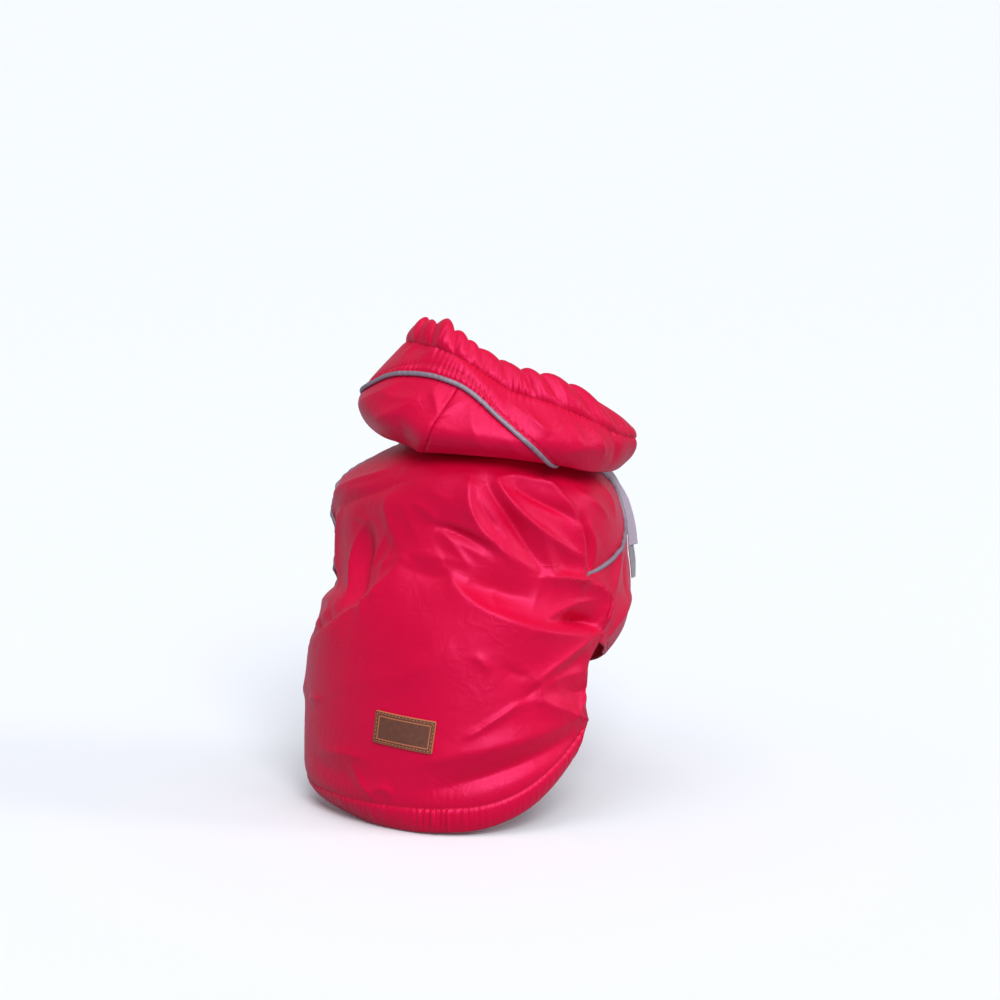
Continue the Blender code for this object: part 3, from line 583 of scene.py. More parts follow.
def weave_node(tree, threads):
    node = tree.nodes.new("ShaderNodeGroup")
    node.node_tree = plain_weave
    node.inputs["Threads"].default_value = threads
    tree.links.new(place_of(tree, "UV"), node.inputs["Place"])
    return node.outputs["Height"]


def bump(tree, height, distance, strength, under=None):
    node = add(tree, "Bump", Distance=distance, Strength=strength)
    tree.links.new(height, node.inputs["Height"])
    if under:
        tree.links.new(under, node.inputs["Normal"])
    return node.outputs["Normal"]


def blend_colours(tree, mask, low, high):
    """A colour between two, by a mask."""
    ramp = tree.nodes.new("ShaderNodeValToRGB")
    ramp.color_ramp.elements[0].color = (*low, 1.0)
    ramp.color_ramp.elements[1].color = (*high, 1.0)
    tree.links.new(mask, ramp.inputs["Fac"])
    return ramp.outputs["Color"]


def spread(tree, mask, low, high, to_low, to_high):
    """A value mapped from one range onto another."""
    node = tree.nodes.new("ShaderNodeMapRange")
    tree.links.new(mask, node.inputs["Value"])
    for name, value in (("From Min", low), ("From Max", high), ("To Min", to_low), ("To Max", to_high)):
        node.inputs[name].default_value = value
    return node.outputs["Result"]


def nylon_finish():
    """Dyed nylon taffeta with a satin face: a fine plain weave, a red gloss and faint small creases."""
    finish, tree, shader = new_finish("red_satin_nylon")
    shader.inputs["Specular IOR Level"].default_value = 1.0
    shader.inputs["Specular Tint"].default_value = (1.0, 0.13, 0.40, 1.0)
    shader.inputs["Sheen Weight"].default_value = 0.1
    shader.inputs["Sheen Roughness"].default_value = 0.35
    shader.inputs["Sheen Tint"].default_value = (1.0, 0.12, 0.36, 1.0)
    place = place_of(tree, "Object")
    tone = texture(tree, "Noise", place, Scale=14.0, Detail=3.0)
    soft = texture(tree, "Noise", place, Scale=62.0, Detail=2.0, Distortion=0.7)
    where = texture(tree, "Noise", place, Scale=24.0, Detail=1.0)
    bent = add(tree, "VectorMath")
    bent.operation = "MULTIPLY_ADD"
    tree.links.new(soft.outputs["Color"], bent.inputs[0])
    bent.inputs[1].default_value = (0.02, 0.02, 0.02)
    tree.links.new(place, bent.inputs[2])
    crumple = texture(tree, "Voronoi", bent.outputs["Vector"], Scale=75.0, Randomness=1.0)
    crumple.feature = "DISTANCE_TO_EDGE"
    colour = blend_colours(tree, tone.outputs["Fac"], (0.55, 0.0004, 0.030), (0.71, 0.001, 0.044))
    rough = spread(tree, tone.outputs["Fac"], 0.3, 0.7, 0.33, 0.42)
    patch = spread(tree, where.outputs["Fac"], 0.46, 0.66, 0.0, 1.0)
    lines = math_node(tree, "MULTIPLY", spread(tree, crumple.outputs["Distance"], 0.0, 0.16, 1.0, 0.0), patch)
    wrinkled = bump(tree, soft.outputs["Fac"], 0.0011, 0.55)
    creased = bump(tree, lines, 0.00045, 0.25, wrinkled)
    woven = bump(tree, weave_node(tree, 3300.0), 0.00003, 0.5, creased)
    dress(tree, shader, Base_Color=colour, Roughness=rough, Normal=woven)
    return finish


red_nylon = nylon_finish()


def back_cut(across, up):
    """Cloth from just inside the hem's casing to the neckline, wider than the piece all the way."""
    angle = BACK_REACH[0] + (BACK_REACH[1] - BACK_REACH[0]) * across
    low = hem_height(angle) + CASING_WIDTH - TURNED_IN
    return angle, low + (NECKLINE - low) * up


def trim_back(sheet):
    trim(sheet, lambda point: point.x > seam_angle("right", point.y), seams["right"])
    trim(sheet, lambda point: point.x < seam_angle("left", point.y), seams["left"])


body_grain = (BODY_ARC, 1.0)
back_mesh = cut_cloth("back_panel_cloth", 250, 164, back_cut, skirt, body_grain, trim_back)
back_panel = show("back_panel_cloth", back_mesh, red_nylon, ["back_panel"], CLOTH)

# Hem casing.
# A tunnel of the same nylon, 17 mm deep, stitched along the skirt's curved edge. The elastic inside it draws
# the cloth into small uneven gathers and turns the edge in.
HEM_GATHERS = 58
# how far the tunnel stands out at its middle, how high its gathers rise, and how far its inside lies in
HEM_FULLNESS = 1.4
HEM_GATHER_RISE = 1.7
TUNNEL_INSIDE = 1.2


def uneven_gathers(at, count, seed):
    """Heights from 0 to 1 of a row of gathers, no two of one width and depth, at places 0 to 1."""
    draw = np.random.default_rng(seed)
    edges = np.concatenate([[0.0], np.cumsum(draw.uniform(0.45, 1.6, count))])
    edges /= edges[-1]
    depth = draw.uniform(0.3, 1.0, count)
    k = np.clip(np.searchsorted(edges, at, side="right") - 1, 0, count - 1)
    inside = np.clip((at - edges[k]) / (edges[k + 1] - edges[k]), 0.0, 1.0)
    return depth[k] * np.sin(np.pi * inside) ** 0.9


def hem_cut(across, up):
    """Round the tunnel: from 0 at the seam inside, down, round the edge and up to 1 at the seam outside."""
    return hem_start + (hem_end - hem_start) * across, up


def hem_tunnel(angle, turn):
    """The tunnel's skin, flush with the skirt at the seam."""
    from_edge = np.abs(turn - 0.5) * 2
    along = hem_height(angle) + CASING_WIDTH * (0.5 - 0.5 * np.cos(np.pi * from_edge))
    place = (angle - hem_start) / (hem_end - hem_start)
    flat_ends = fade(0.0, 0.02, place) * fade(1.0, 0.98, place)
    full = HEM_FULLNESS * flat_ends * np.sin(np.pi * from_edge) ** 1.4
    drawn = flat_ends * np.interp(angle, hem_draw["angle"], hem_draw["strength"])
    gathers = uneven_gathers(place + 0.006 * from_edge, HEM_GATHERS, 5)
    wave = HEM_GATHER_RISE * drawn * gathers * np.sin(np.pi * from_edge)
    inside = -full - TUNNEL_INSIDE * fade(0.0, 0.3, from_edge)
    return skirt(angle, along, np.where(turn > 0.5, full + wave, inside))


hem_mesh = cut_cloth("hem_casing_cloth", 620, 30, hem_cut, hem_tunnel, (BODY_ARC, 2 * CASING_WIDTH))
hem_casing = show("hem_casing_cloth", hem_mesh, red_nylon, ["hem_casing"])

# Fronts.
# Two chest panels of the same nylon, joined to the back at the shoulders and sides. The right front laps over
# the left down the middle of the chest, and each has an oval armhole.
front_edge = table(
    "angle height",
    (78, 120),
    (88, 112),
    (100, 104),
    (115, 98),
    (130, 90),
    (150, 82),
    (180, 79),
)
# which way round the coat each side lies from the centre back
way_round = {"left": -1.0, "right": 1.0}
# how far past the middle the fronts go, in degrees, and how far the upper one is lifted off the other
FRONT_LAP = 5.5
LAP_LIFT = 3.0
# how far the lower edge is drawn in, over what height, and the angle that the cloth is cut from
FRONT_DRAWN_IN = 9.0
FRONT_DRAW_REACH = 26.0
FRONT_START = 62.0
# the lower edge's stitched line, and the ripples and groove along it
FRONT_STITCH_RISE = 4.0
front_sewing = {"ripple": 0.3, "spacing": 4.0, "reach": 5.0, "groove": 0.4, "half": 1.0}
armhole = {"angle": 146.0, "along": 131.0, "half_angle": 13.7, "half_height": 26.0}


def front_hem(angle):
    return spline(np.abs(angle), front_edge["angle"], front_edge["height"])


def front_form(side):
    """The outer face of one front, drawn in at its lower edge. The right one is lapped over the other."""

    def form(angle, along, out=0.0):
        above = np.clip((along - front_hem(angle)) / FRONT_DRAW_REACH, 0.0, 1.0)
        drawn = FRONT_DRAWN_IN * (1 - above) ** 2 * fade(80.0, 100.0, np.abs(angle))
        lap = LAP_LIFT * fade(160.0, 172.0, np.abs(angle)) if side == "right" else 0.0
        edge = along - front_hem(angle) - FRONT_STITCH_RISE
        ripples = puckers(edge, angle * BODY_ARC, front_sewing["spacing"], front_sewing["reach"], 8)
        sunk = front_sewing["groove"] * groove(edge, front_sewing["half"])
        return body(angle, along, out - drawn + lap + front_sewing["ripple"] * ripples - sunk)

    return form


def front_cut(side):
    """A rectangle of cloth from behind the side seam round to the lap."""

    def cut(across, up):
        near = across if side == "right" else 1.0 - across
        angle = FRONT_START + (180.0 + FRONT_LAP - FRONT_START) * near
        low = front_hem(angle)
        return way_round[side] * angle, low + (NECKLINE - low) * up

    return cut


def front_trim(side):
    """Cuts a front to its side seam, and cuts out its armhole."""
    sign = way_round[side]
    middle = Vector((sign * armhole["angle"], armhole["along"], 0.0))

    def from_middle(point):
        """0 at the armhole's middle and 1 on its edge."""
        away = point - middle
        return math.hypot(away.x / armhole["half_angle"], away.y / armhole["half_height"])

    def cut(sheet):
        trim(sheet, lambda point: sign * (point.x - seam_angle(side, point.y)) < 0, seams[side])
        for vert in cut_away(sheet, lambda point: from_middle(point) < 1.0):
            vert.co = middle + (vert.co - middle) / from_middle(vert.co)

    return cut


for side in ("left", "right"):
    name = f"front_{side}_cloth"
    front_mesh = cut_cloth(name, 140, 128, front_cut(side), front_form(side), body_grain, front_trim(side))
    show(name, front_mesh, red_nylon, [f"front_panel_{side}"], CLOTH)

# Armhole bindings.
# A bias strip of the same nylon, folded round each armhole's raw edge and stitched, about 6 mm wide.

# half its width and thickness, how far its middle lies inside the raw edge, and how many ripples it has
BINDING_HALF = 3.2
BINDING_RISE = 1.1
BINDING_INSET = 2.4
BINDING_RIPPLES = 30
# how many sides a cord or folded strip has round it
ROLL_SIDES = 12


def run(points):
    """How far along a line each of its points lies."""
    return np.concatenate([[0.0], np.cumsum(np.linalg.norm(np.diff(points, axis=0), axis=1))])


def rolled(name, centres, out_way, across, height, finish, nodes, closed=False):
    """A cord or folded strip: a flat grid rolled round its line of centres, its tips round if it has any.
    across and height are half its width and half its thickness."""
    way = run(centres)
    ahead = np.gradient(centres, axis=0)
    if closed:
        ahead[0] = ahead[-1] = centres[1] - centres[-2]
    ahead /= np.linalg.norm(ahead, axis=1, keepdims=True)
    side_way = np.cross(ahead, out_way)
    side_way /= np.linalg.norm(side_way, axis=1, keepdims=True)
    from_tip = np.minimum(way, way[-1] - way) / across
    full = np.ones(len(way)) if closed else np.sqrt(1 - (1 - np.clip(from_tip, 0.0, 1.0)) ** 2)
    sheet = new_sheet()
    bmesh.ops.create_grid(sheet, x_segments=len(way) - 1, y_segments=ROLL_SIDES, size=0.5, calc_uvs=True)
    for vert in sheet.verts:
        k = round((vert.co.x + 0.5) * (len(way) - 1))
        turn = 2 * math.pi * (vert.co.y + 0.5)
        round_way = out_way[k] * math.cos(turn) * height + side_way[k] * math.sin(turn) * across
        vert.co = (centres[k] + full[k] * round_way - [0, 0, NECK_HOLD]) / 1000
    for face in sheet.faces:
        for loop in face.loops:
            uv = loop[sheet.loops.layers.uv.active].uv
            uv.x, uv.y = uv.x * way[-1] / 1000, uv.y * math.pi * across / 1000
    bmesh.ops.remove_doubles(sheet, verts=sheet.verts, dist=0.00001)
    bmesh.ops.recalc_face_normals(sheet, faces=sheet.faces)
    return show(name, as_mesh(name, sheet), finish, nodes)


for side, sign in way_round.items():
    turn = np.linspace(0.0, 2 * np.pi, 121)
    reach = (armhole["half_angle"] - BINDING_INSET / BODY_ARC, armhole["half_height"] - BINDING_INSET)
    angle = sign * (armhole["angle"] + reach[0] * np.cos(turn))
    along = armhole["along"] + reach[1] * np.sin(turn)
    ripple = 0.25 * puckers(0.0, np.linspace(0, BINDING_RIPPLES, len(turn)), 1.0, 1.0, 6)
    rolled(
        f"armhole_binding_{side}_cloth",
        front_form(side)(angle, along, ripple - 0.4),
        outward(body_round, angle, along),
        BINDING_HALF,
        BINDING_RISE,
        red_nylon,
        [f"armhole_binding_{side}"],
        closed=True,
    )

# Hood crown.
# Two nylon halves joined by a curved seam at the middle of the back. They rise from the neckline as a soft
# pouch that lies over the shoulders, up to the piping.

# A level is -1 at the neckline, 0 at the low fold over the shoulders, FULL_LEVEL where the hood stands out
# furthest and 1 at the rim. A degree round the hood is HOOD_ARC of cloth, and a whole level is HOOD_RISE.
HOOD_AXIS = (-22.0, -18.0)
FULL_LEVEL = 0.45
HOOD_ARC = 1.45
HOOD_RISE = 75.0
# how far the hood's lower edge lies from the neckline, and how far above the piping its strip is topstitched
HOOD_NECK_RISE = -1.0
STRIP_WIDTH = 4.0
hood_cuts = table(
    "angle fold_reach fold_height full_reach full_height rim_reach rim_height casing_level",
    (-155, 66, 242, 84, 258, 54, 292, 0.80),
    (-110, 68, 245, 94, 266, 52, 311, 0.84),
    (-65, 72, 249, 100, 274, 56, 329, 0.87),
    (-20, 76, 249, 92, 270, 50, 330, 0.87),
    (5, 72, 248, 85, 266, 44, 316, 0.86),
    (25, 68, 246, 80, 262, 43, 307, 0.82),
    (55, 71, 240, 82, 258, 51, 299, 0.76),
    (80, 73, 233, 84, 252, 62, 287, 0.66),
    (95, 74, 230, 86, 249, 72, 273, 0.58),
    (115, 75, 229, 87, 246, 80, 259, 0.54),
    (145, 72, 231, 84, 246, 78, 256, 0.56),
    (180, 66, 239, 78, 251, 62, 268, 0.66),
)
hood_piping_line = table(
    "angle level",
    (-134, -0.94),
    (-124, -0.45),
    (-106, 0.20),
    (-82, 0.46),
    (-58, 0.59),
    (-45, 0.68),
    (-28, 0.73),
    (-13, 0.745),
    (2, 0.73),
    (15, 0.66),
    (29, 0.51),
    (40, 0.28),
    (51, -0.02),
    (62, -0.40),
    (76, -0.94),
)
crown_seam_line = table(
    "level angle",
    (-1.0, -24),
    (0.0, -21),
    (0.33, -10),
    (0.50, -7),
    (0.75, -2),
)
hood_folds = table(
    FOLD_COLUMNS,
    # the crown, its left half a darker facet with small creases below the piping
    (-8, 0.56, -14, 0.22, -30, -0.06, 12, 6, 3.2, 1.3),
    (-62, 0.44, -46, 0.54, -32, 0.68, 4, 6, 2.4, 1.2),
    (-42, 0.60, -28, 0.56, -17, 0.65, 3, 3, 1.9, 1.15),
    (-44, 0.34, -28, 0.52, -13, 0.66, 3.5, 5, 2.0, 1.2),
    (-16, 0.69, -9, 0.65, -8, 0.55, 2.5, 3, 2.0, 1.15),
    (-8, 0.50, -3, 0.62, 4, 0.68, 2.5, 3, 1.9, 1.15),
    (-26, 0.50, -22, 0.34, -30, 0.12, 8, 8, -2.6, 1.6),
    (-76, 0.44, -62, 0.24, -46, 0.10, 7, 9, 3.2, 1.3),
    (6, 0.68, 10, 0.46, 15, 0.20, 7, 5, 1.4, 1.4),
    (24, 0.46, 30, 0.30, 34, 0.10, 6, 6, 1.0, 1.5),
    # the band, with its broad bright ridge and the creases that run to the rim
    (-22, 0.88, 0, 0.86, 26, 0.70, 7, 9, 4.0, 1.3),
    (-58, 0.86, -37, 0.82, -24, 0.89, 4, 4, -2.2, 1.3),
    (-33, 0.81, -24, 0.86, -18, 0.92, 3, 4, 2.0, 1.2),
    (-48, 0.80, -44, 0.86, -42, 0.94, 4, 4, 1.8, 1.3),
    (24, 0.74, 38, 0.66, 46, 0.48, 5, 7, 2.4, 1.3),
    (36, 0.71, 41, 0.55, 48, 0.54, 2.4, 2.6, 1.4, 1.2),
    (45, 0.54, 51, 0.55, 53, 0.66, 2.4, 2.6, 1.3, 1.2),
    (58, 0.66, 62, 0.54, 60, 0.40, 5, 5, 1.2, 1.5),
    (70, 0.63, 74, 0.50, 77, 0.30, 3.5, 4, 1.8, 1.2),
    (84, 0.66, 88, 0.45, 86, 0.20, 4, 4, -2.6, 1.2),
    (50, 0.24, 61, 0.44, 75, 0.37, 6, 6, 1.3, 1.5),
    (60, 0.04, 72, 0.10, 84, 0.06, 6, 6, 1.6, 1.5),
    # the left side and the throat
    (100, 0.70, 104, 0.45, 112, 0.16, 8, 7, 2.8, 1.3),
    (118, 0.62, 120, 0.40, 116, 0.10, 5, 5, -2.0, 1.4),
    (128, 0.70, 138, 0.48, 134, 0.20, 8, 7, 2.4, 1.3),
    (146, 0.50, 152, 0.30, 148, 0.06, 5, 5, -1.8, 1.4),
    (160, 0.70, 168, 0.40, 162, 0.10, 8, 7, 2.2, 1.3),
    (-172, 0.70, -164, 0.40, -168, 0.12, 8, 7, 2.2, 1.3),
    (-154, 0.76, -150, 0.50, -154, 0.20, 6, 6, -2.0, 1.4),
    (-140, 0.82, -132, 0.50, -136, 0.18, 9, 7, 2.8, 1.3),
    (-122, 0.82, -118, 0.60, -124, 0.30, 5, 5, -1.8, 1.4),
    (-112, 0.86, -104, 0.56, -110, 0.24, 8, 8, 2.4, 1.3),
    (-96, 0.84, -94, 0.62, -100, 0.42, 5, 5, -2.0, 1.3),
    (-86, 0.86, -80, 0.50, -90, 0.18, 9, 7, 2.8, 1.3),
    (-72, 0.88, -70, 0.74, -76, 0.60, 5, 5, -1.8, 1.3),
)


def wrap(angle):
    return (angle + 180.0) % 360.0 - 180.0


def hood_cut(name, angle):
    """A column of the hood's cuts, read all the way round."""
    knots = np.concatenate([hood_cuts["angle"] - 360, hood_cuts["angle"], hood_cuts["angle"] + 360])
    return spline(wrap(angle), knots, np.tile(hood_cuts[name], 3))


def hood_round(angle, level):
    """The hood's plain form, from the neckline out over the shoulders and up to the rim."""
    wrapped = wrap(angle)
    turn = np.radians(angle)
    lap = np.where(wrapped > 0, fade(156.0, 170.0, wrapped), fade(148.0, 164.0, -wrapped))
    neck = body_round(wrapped, np.full(wrapped.shape, NECKLINE))
    neck[..., 2] += HOOD_NECK_RISE + LAP_LIFT * lap
    points = [neck]
    for place in ("fold", "full", "rim"):
        reach = hood_cut(f"{place}_reach", angle)
        x = HOOD_AXIS[0] - reach * np.sin(turn)
        y = HOOD_AXIS[1] + reach * np.cos(turn)
        points.append(np.stack([x, y, hood_cut(f"{place}_height", angle)], axis=-1))
    points = np.stack(points)
    knots = np.array([-1.0, 0.0, FULL_LEVEL, 1.0])
    slopes = np.gradient(points, knots, axis=0)
    climb = np.diff(points[..., 2], axis=0) / np.diff(knots).reshape(-1, *(1,) * level.ndim)
    both = climb[:-1] * climb[1:]
    level_climb = np.where(np.abs(climb[:-1] + climb[1:]) > 1e-6, climb[:-1] + climb[1:], 1.0)
    slopes[1:-1, ..., 2] = np.where(both > 0, 2 * both / level_climb, 0.0)
    k = np.clip(np.searchsorted(knots, level) - 1, 0, len(knots) - 2)
    width = (knots[k + 1] - knots[k])[..., None]
    t = np.clip((level[..., None] - knots[k][..., None]) / width, -0.2, 1.2)

    def pick(grid, at):
        return np.take_along_axis(grid, at[None, ..., None], axis=0)[0]

    return cubic(t, width, pick(points, k), pick(points, k + 1), pick(slopes, k), pick(slopes, k + 1))


def piping_level(angle):
    return spline(angle, hood_piping_line["angle"], hood_piping_line["level"])


def casing_level(angle):
    return hood_cut("casing_level", angle)


def line_gap(angle, level, line):
    """The distance above a line of levels on the hood, measured over the cloth."""
    lean = (line(angle + 0.5) - line(angle - 0.5)) * HOOD_RISE / HOOD_ARC
    return (level - line(angle)) * HOOD_RISE / np.hypot(1.0, lean)


def crown_seam(level):
    return spline(level, crown_seam_line["level"], crown_seam_line["angle"])


piping_ends = (hood_piping_line["angle"][0], hood_piping_line["angle"][-1])


def hood_sewing(angle, level):
    """What the hood's seams do to its cloth: the piping's seat, the puckered strip above it, the crown's seam
    and the casing's stitched line."""
    piped = fade(piping_ends[0], piping_ends[0] + 6, angle) * fade(piping_ends[1], piping_ends[1] - 6, angle)
    gap = line_gap(angle, level, piping_level)
    way = angle * HOOD_ARC
    seat = -1.1 * groove(gap, 2.0)
    strip = puckers(gap - 0.6 * STRIP_WIDTH, way, 4.2, 2.2, 21) - 0.4 * groove(gap - STRIP_WIDTH, 0.9)
    padded = 0.5 * groove(gap - 0.5 * STRIP_WIDTH, 1.3)
    total = piped * (strip + padded + seat)
    under = piped * fade(0.0, -0.5, gap)
    seam = (angle - crown_seam(level)) * HOOD_ARC
    total += under * (0.35 * puckers(seam, level * HOOD_RISE, 6.0, 4.0, 22) - 0.7 * groove(seam, 1.1))
    gap = line_gap(angle, level, casing_level)
    return total + 0.5 * puckers(gap, way, 5.2, 2.6, 23) - 0.55 * groove(gap, 1.3)


def hood_outward(angle, level):
    return outward(hood_round, angle, level, 0.01)


def hood(angle, level, out=0.0):
    """The hood's outer face with its folds and seams, moved out."""
    folds = relief(angle * HOOD_ARC, level * HOOD_RISE, hood_folds, HOOD_ARC, HOOD_RISE)
    lift = (folds + hood_sewing(angle, level)) * fade(-0.4, 0.1, level) + out
    return hood_round(angle, level) + hood_outward(angle, level) * lift[..., None]


# below 1 the cloth's rows of points stand closer towards its upper edge
UPWARD_CROWD = 0.75


def crown_cut(side):
    """Half the crown laid flat, from the neckline up to the piping."""
    end = piping_ends[0 if side == "left" else 1]

    def cut(across, up):
        near = across if side == "left" else 1.0 - across
        level = -1.0 + 1.6 * up
        # the seam leans, so each level moves the angle and each angle the level until both have settled
        for _ in range(8):
            angle = end + (crown_seam(level) - end) * near
            level = -1.0 + (piping_level(angle) + 1.0) * up**UPWARD_CROWD
        return angle, level

    return cut


hood_grain = (HOOD_ARC, HOOD_RISE)
for side, columns in (("left", 150), ("right", 130)):
    name = f"hood_crown_{side}_cloth"
    crown_mesh = cut_cloth(name, columns, 110, crown_cut(side), hood, hood_grain)
    crown = show(name, crown_mesh, red_nylon, [f"hood_crown_{side}"], CLOTH)

# Hood front band.
# The hood's long outer strip of nylon, in front of the piping, that goes all the way round and meets at the
# throat. A line of topstitching beside the piping puckers it, and its lower edge goes in under the piping.
UNDER_PIPING = 1.2


def band_cut(across, up):
    angle = -180.0 + 360.0 * across
    piped = (angle > piping_ends[0]) & (angle < piping_ends[1])
    low = np.where(piped, piping_level(angle) - UNDER_PIPING / HOOD_RISE, -1.0)
    top = casing_level(angle) + TURNED_IN / HOOD_RISE
    return angle, low + (top - low) * up**UPWARD_CROWD


band_mesh = cut_cloth("hood_band_cloth", 520, 80, band_cut, hood, hood_grain)
front_band = show("hood_band_cloth", band_mesh, red_nylon, ["hood_front_band"], CLOTH)

# Hood rim casing.
# The rim is turned over into a tunnel with elastic in it, which bunches the nylon into round uneven gathers.
RIM_GATHERS = 26
RIM_FINE_GATHERS = 92
# how far each gather rises, how far the tunnel stands out without them, and how much of a turn they lean
RIM_GATHER_RISE = 3.6
RIM_FINE_RISE = 0.8
RIM_FULLNESS = 1.6
RIM_LEAN = 0.022


def rim_cut(across, up):
    return -180.0 + 360.0 * across, up


def rim_tunnel(angle, turn):
    """Up the outer face to the rim, over it and down the inside."""
    from_rim = np.abs(turn - 0.5) * 2
    low = casing_level(angle)
    place = ((angle + 180) / 360 + RIM_LEAN * (1 - from_rim)) % 1.0
    big = uneven_gathers(place, RIM_GATHERS, 11)
    fine = uneven_gathers((angle + 180) / 360, RIM_FINE_GATHERS, 12)
    top = 1.0 + 0.05 * (big - 0.45)
    level = low + (top - low) * (0.5 + 0.5 * np.cos(np.pi * from_rim))
    full = RIM_FULLNESS * np.sin(np.pi * from_rim) ** 1.3
    wave = (RIM_GATHER_RISE * big + RIM_FINE_RISE * fine * from_rim) * np.sin(np.pi * from_rim) ** 1.1
    inside = -full - TUNNEL_INSIDE * fade(0.0, 0.3, from_rim) - 0.5 * wave
    return hood(angle, level, np.where(turn < 0.5, full + wave, inside))


rim_mesh = cut_cloth("hood_rim_cloth", 900, 36, rim_cut, rim_tunnel, hood_grain)
rim_casing = show("hood_rim_cloth", rim_mesh, red_nylon, ["hood_rim_casing"])

# Piping.
# Grey reflective tape wrapped round a cord, 3.5 mm across, and sewn into the seams: over the hood between the
# crown and the band, and down each shoulder seam. It sits half sunk between the two cloths.

# half its width and height, and how far out its middle lies on the hood and on the shoulders
PIPING_HALF = 1.75
PIPING_RISE = 1.5
HOOD_PIPING_LIE = 1.55
SHOULDER_PIPING_LIE = 1.2
# how far the shoulder's dips in at its foot, and over what height
PIPING_DIP = 3.6
PIPING_DIP_REACH = 9.0
# the angles between which the hood's piping shows, and the heights at which each shoulder's starts, hidden
# under the hood, and ends
hood_piping_span = (-128.0, 68.0)
shoulder_piping_span = {"left": (262.0, 140.0), "right": (262.0, 161.5)}


def tape_finish():
    """Grey reflective tape: fine glass beads in a grey coat, with a faint weave and worn lighter spots."""
    finish, tree, shader = new_finish("grey_reflective_tape")
    shader.inputs["Metallic"].default_value = 0.25
    place = place_of(tree, "Object")
    worn = texture(tree, "Noise", place, Scale=180.0, Detail=3.0)
    beads = texture(tree, "Voronoi", place, Scale=2600.0)
    colour = blend_colours(tree, worn.outputs["Fac"], (0.20, 0.155, 0.21), (0.34, 0.27, 0.34))
    rough = spread(tree, worn.outputs["Fac"], 0.3, 0.7, 0.38, 0.52)
    beaded = bump(tree, beads.outputs["Distance"], 0.00008, 0.35)
    woven = bump(tree, weave_node(tree, 1500.0), 0.00005, 0.5, beaded)
    dress(tree, shader, Base_Color=colour, Roughness=rough, Normal=woven)
    return finish


reflective_tape = tape_finish()


def pipe(node, centres, out_way):
    rolled(f"{node}_tape", centres, out_way, PIPING_HALF, PIPING_RISE, reflective_tape, [node])


angle = np.linspace(*hood_piping_span, 240)
level = piping_level(angle)
pipe("hood_piping", hood(angle, level, HOOD_PIPING_LIE), hood_outward(angle, level))
for side in ("left", "right"):
    along = np.linspace(*shoulder_piping_span[side], 130)
    angle = seam_angle(side, along)
    # its foot dips under the cloth where the shoulder seam becomes the plain side seam
    dip = PIPING_DIP * fade(PIPING_DIP_REACH, 0.0, along - shoulder_piping_span[side][1])
    lie = SHOULDER_PIPING_LIE - dip
    pipe(f"shoulder_piping_{side}", body(angle, along, lie), outward(body_round, angle, along))

# Chest ribbon and its tab.
# A plain 9 mm woven lilac ribbon down the right front, sewn flat along its rear edge so that its front edge
# stands off. A narrower grey woven tab hangs below it.

# stand is how far the front edge stands off at the top and at the foot
ribbons = {
    "chest_ribbon": {"top": 234.0, "foot": 169.0, "stand": (4.5, 7.0), "width": 9.0},
    "ribbon_tab": {"top": 168.6, "foot": 147.0, "stand": (3.8, 3.0), "width": 6.4},
}
# the angle of the sewn rear edge, how far it lies off the cloth, and the ribbon's thickness in metres
RIBBON_EDGE_ANGLE = 120.6
RIBBON_CLEAR = 1.4
RIBBON_WALL = 0.0009


def ribbon_finish(name, low, high, threads):
    """Woven polyester ribbon with a firm selvedge down each edge."""
    finish, tree, shader = new_finish(name)
    shader.inputs["Sheen Weight"].default_value = 0.3
    tone = texture(tree, "Noise", place_of(tree, "UV"), Scale=300.0, Detail=2.0)
    colour = blend_colours(tree, tone.outputs["Fac"], low, high)
    rough = spread(tree, tone.outputs["Fac"], 0.3, 0.7, 0.5, 0.62)
    woven = bump(tree, weave_node(tree, threads), 0.00018, 0.8)
    dress(tree, shader, Base_Color=colour, Roughness=rough, Normal=woven)
    return finish


ribbon_finishes = {
    "chest_ribbon": ribbon_finish("lilac_woven_ribbon", (0.40, 0.33, 0.42), (0.50, 0.42, 0.53), 900.0),
    "ribbon_tab": ribbon_finish("grey_woven_tab", (0.21, 0.18, 0.22), (0.32, 0.28, 0.33), 1100.0),
}


def ribbon_spread(ribbon, down):
    """How far the ribbon's front edge stands off at a place down it, and how much of the front it covers."""
    stand = ribbon["stand"][0] + (ribbon["stand"][1] - ribbon["stand"][0]) * down
    return stand, np.sqrt(ribbon["width"] ** 2 - stand**2) / BODY_ARC


def ribbon_cut(ribbon):
    def cut(across, up):
        down = 1.0 - up
        _, covered = ribbon_spread(ribbon, down)
        return RIBBON_EDGE_ANGLE + across * covered, ribbon["top"] + (ribbon["foot"] - ribbon["top"]) * down

    return cut


def ribbon_face(ribbon):
    def face(angle, along):
        down = (along - ribbon["top"]) / (ribbon["foot"] - ribbon["top"])
        stand, covered = ribbon_spread(ribbon, down)
        across = (angle - RIBBON_EDGE_ANGLE) / covered
        selvedge = 0.12 * groove(np.abs(across - 0.5) - 0.45, 0.03)
        return front_form("right")(angle, along, stand * across + RIBBON_CLEAR + selvedge)

    return face


for name, ribbon in ribbons.items():
    ribbon_mesh = cut_cloth(f"{name}_strip", 24, 90, ribbon_cut(ribbon), ribbon_face(ribbon), body_grain)
    show(f"{name}_strip", ribbon_mesh, ribbon_finishes[name], [name], RIBBON_WALL)

# Leather label.
# A 43 by 22 mm patch of brown leather, its edge burnished and a frame tooled inside its stitches, sewn low on
# the back. Its field is bare.
LABEL = {"length": 43.0, "width": 22.0, "turn": 5.5, "thick": 1.3, "angle": 2.0, "along": 68.0, "corner": 1.6}
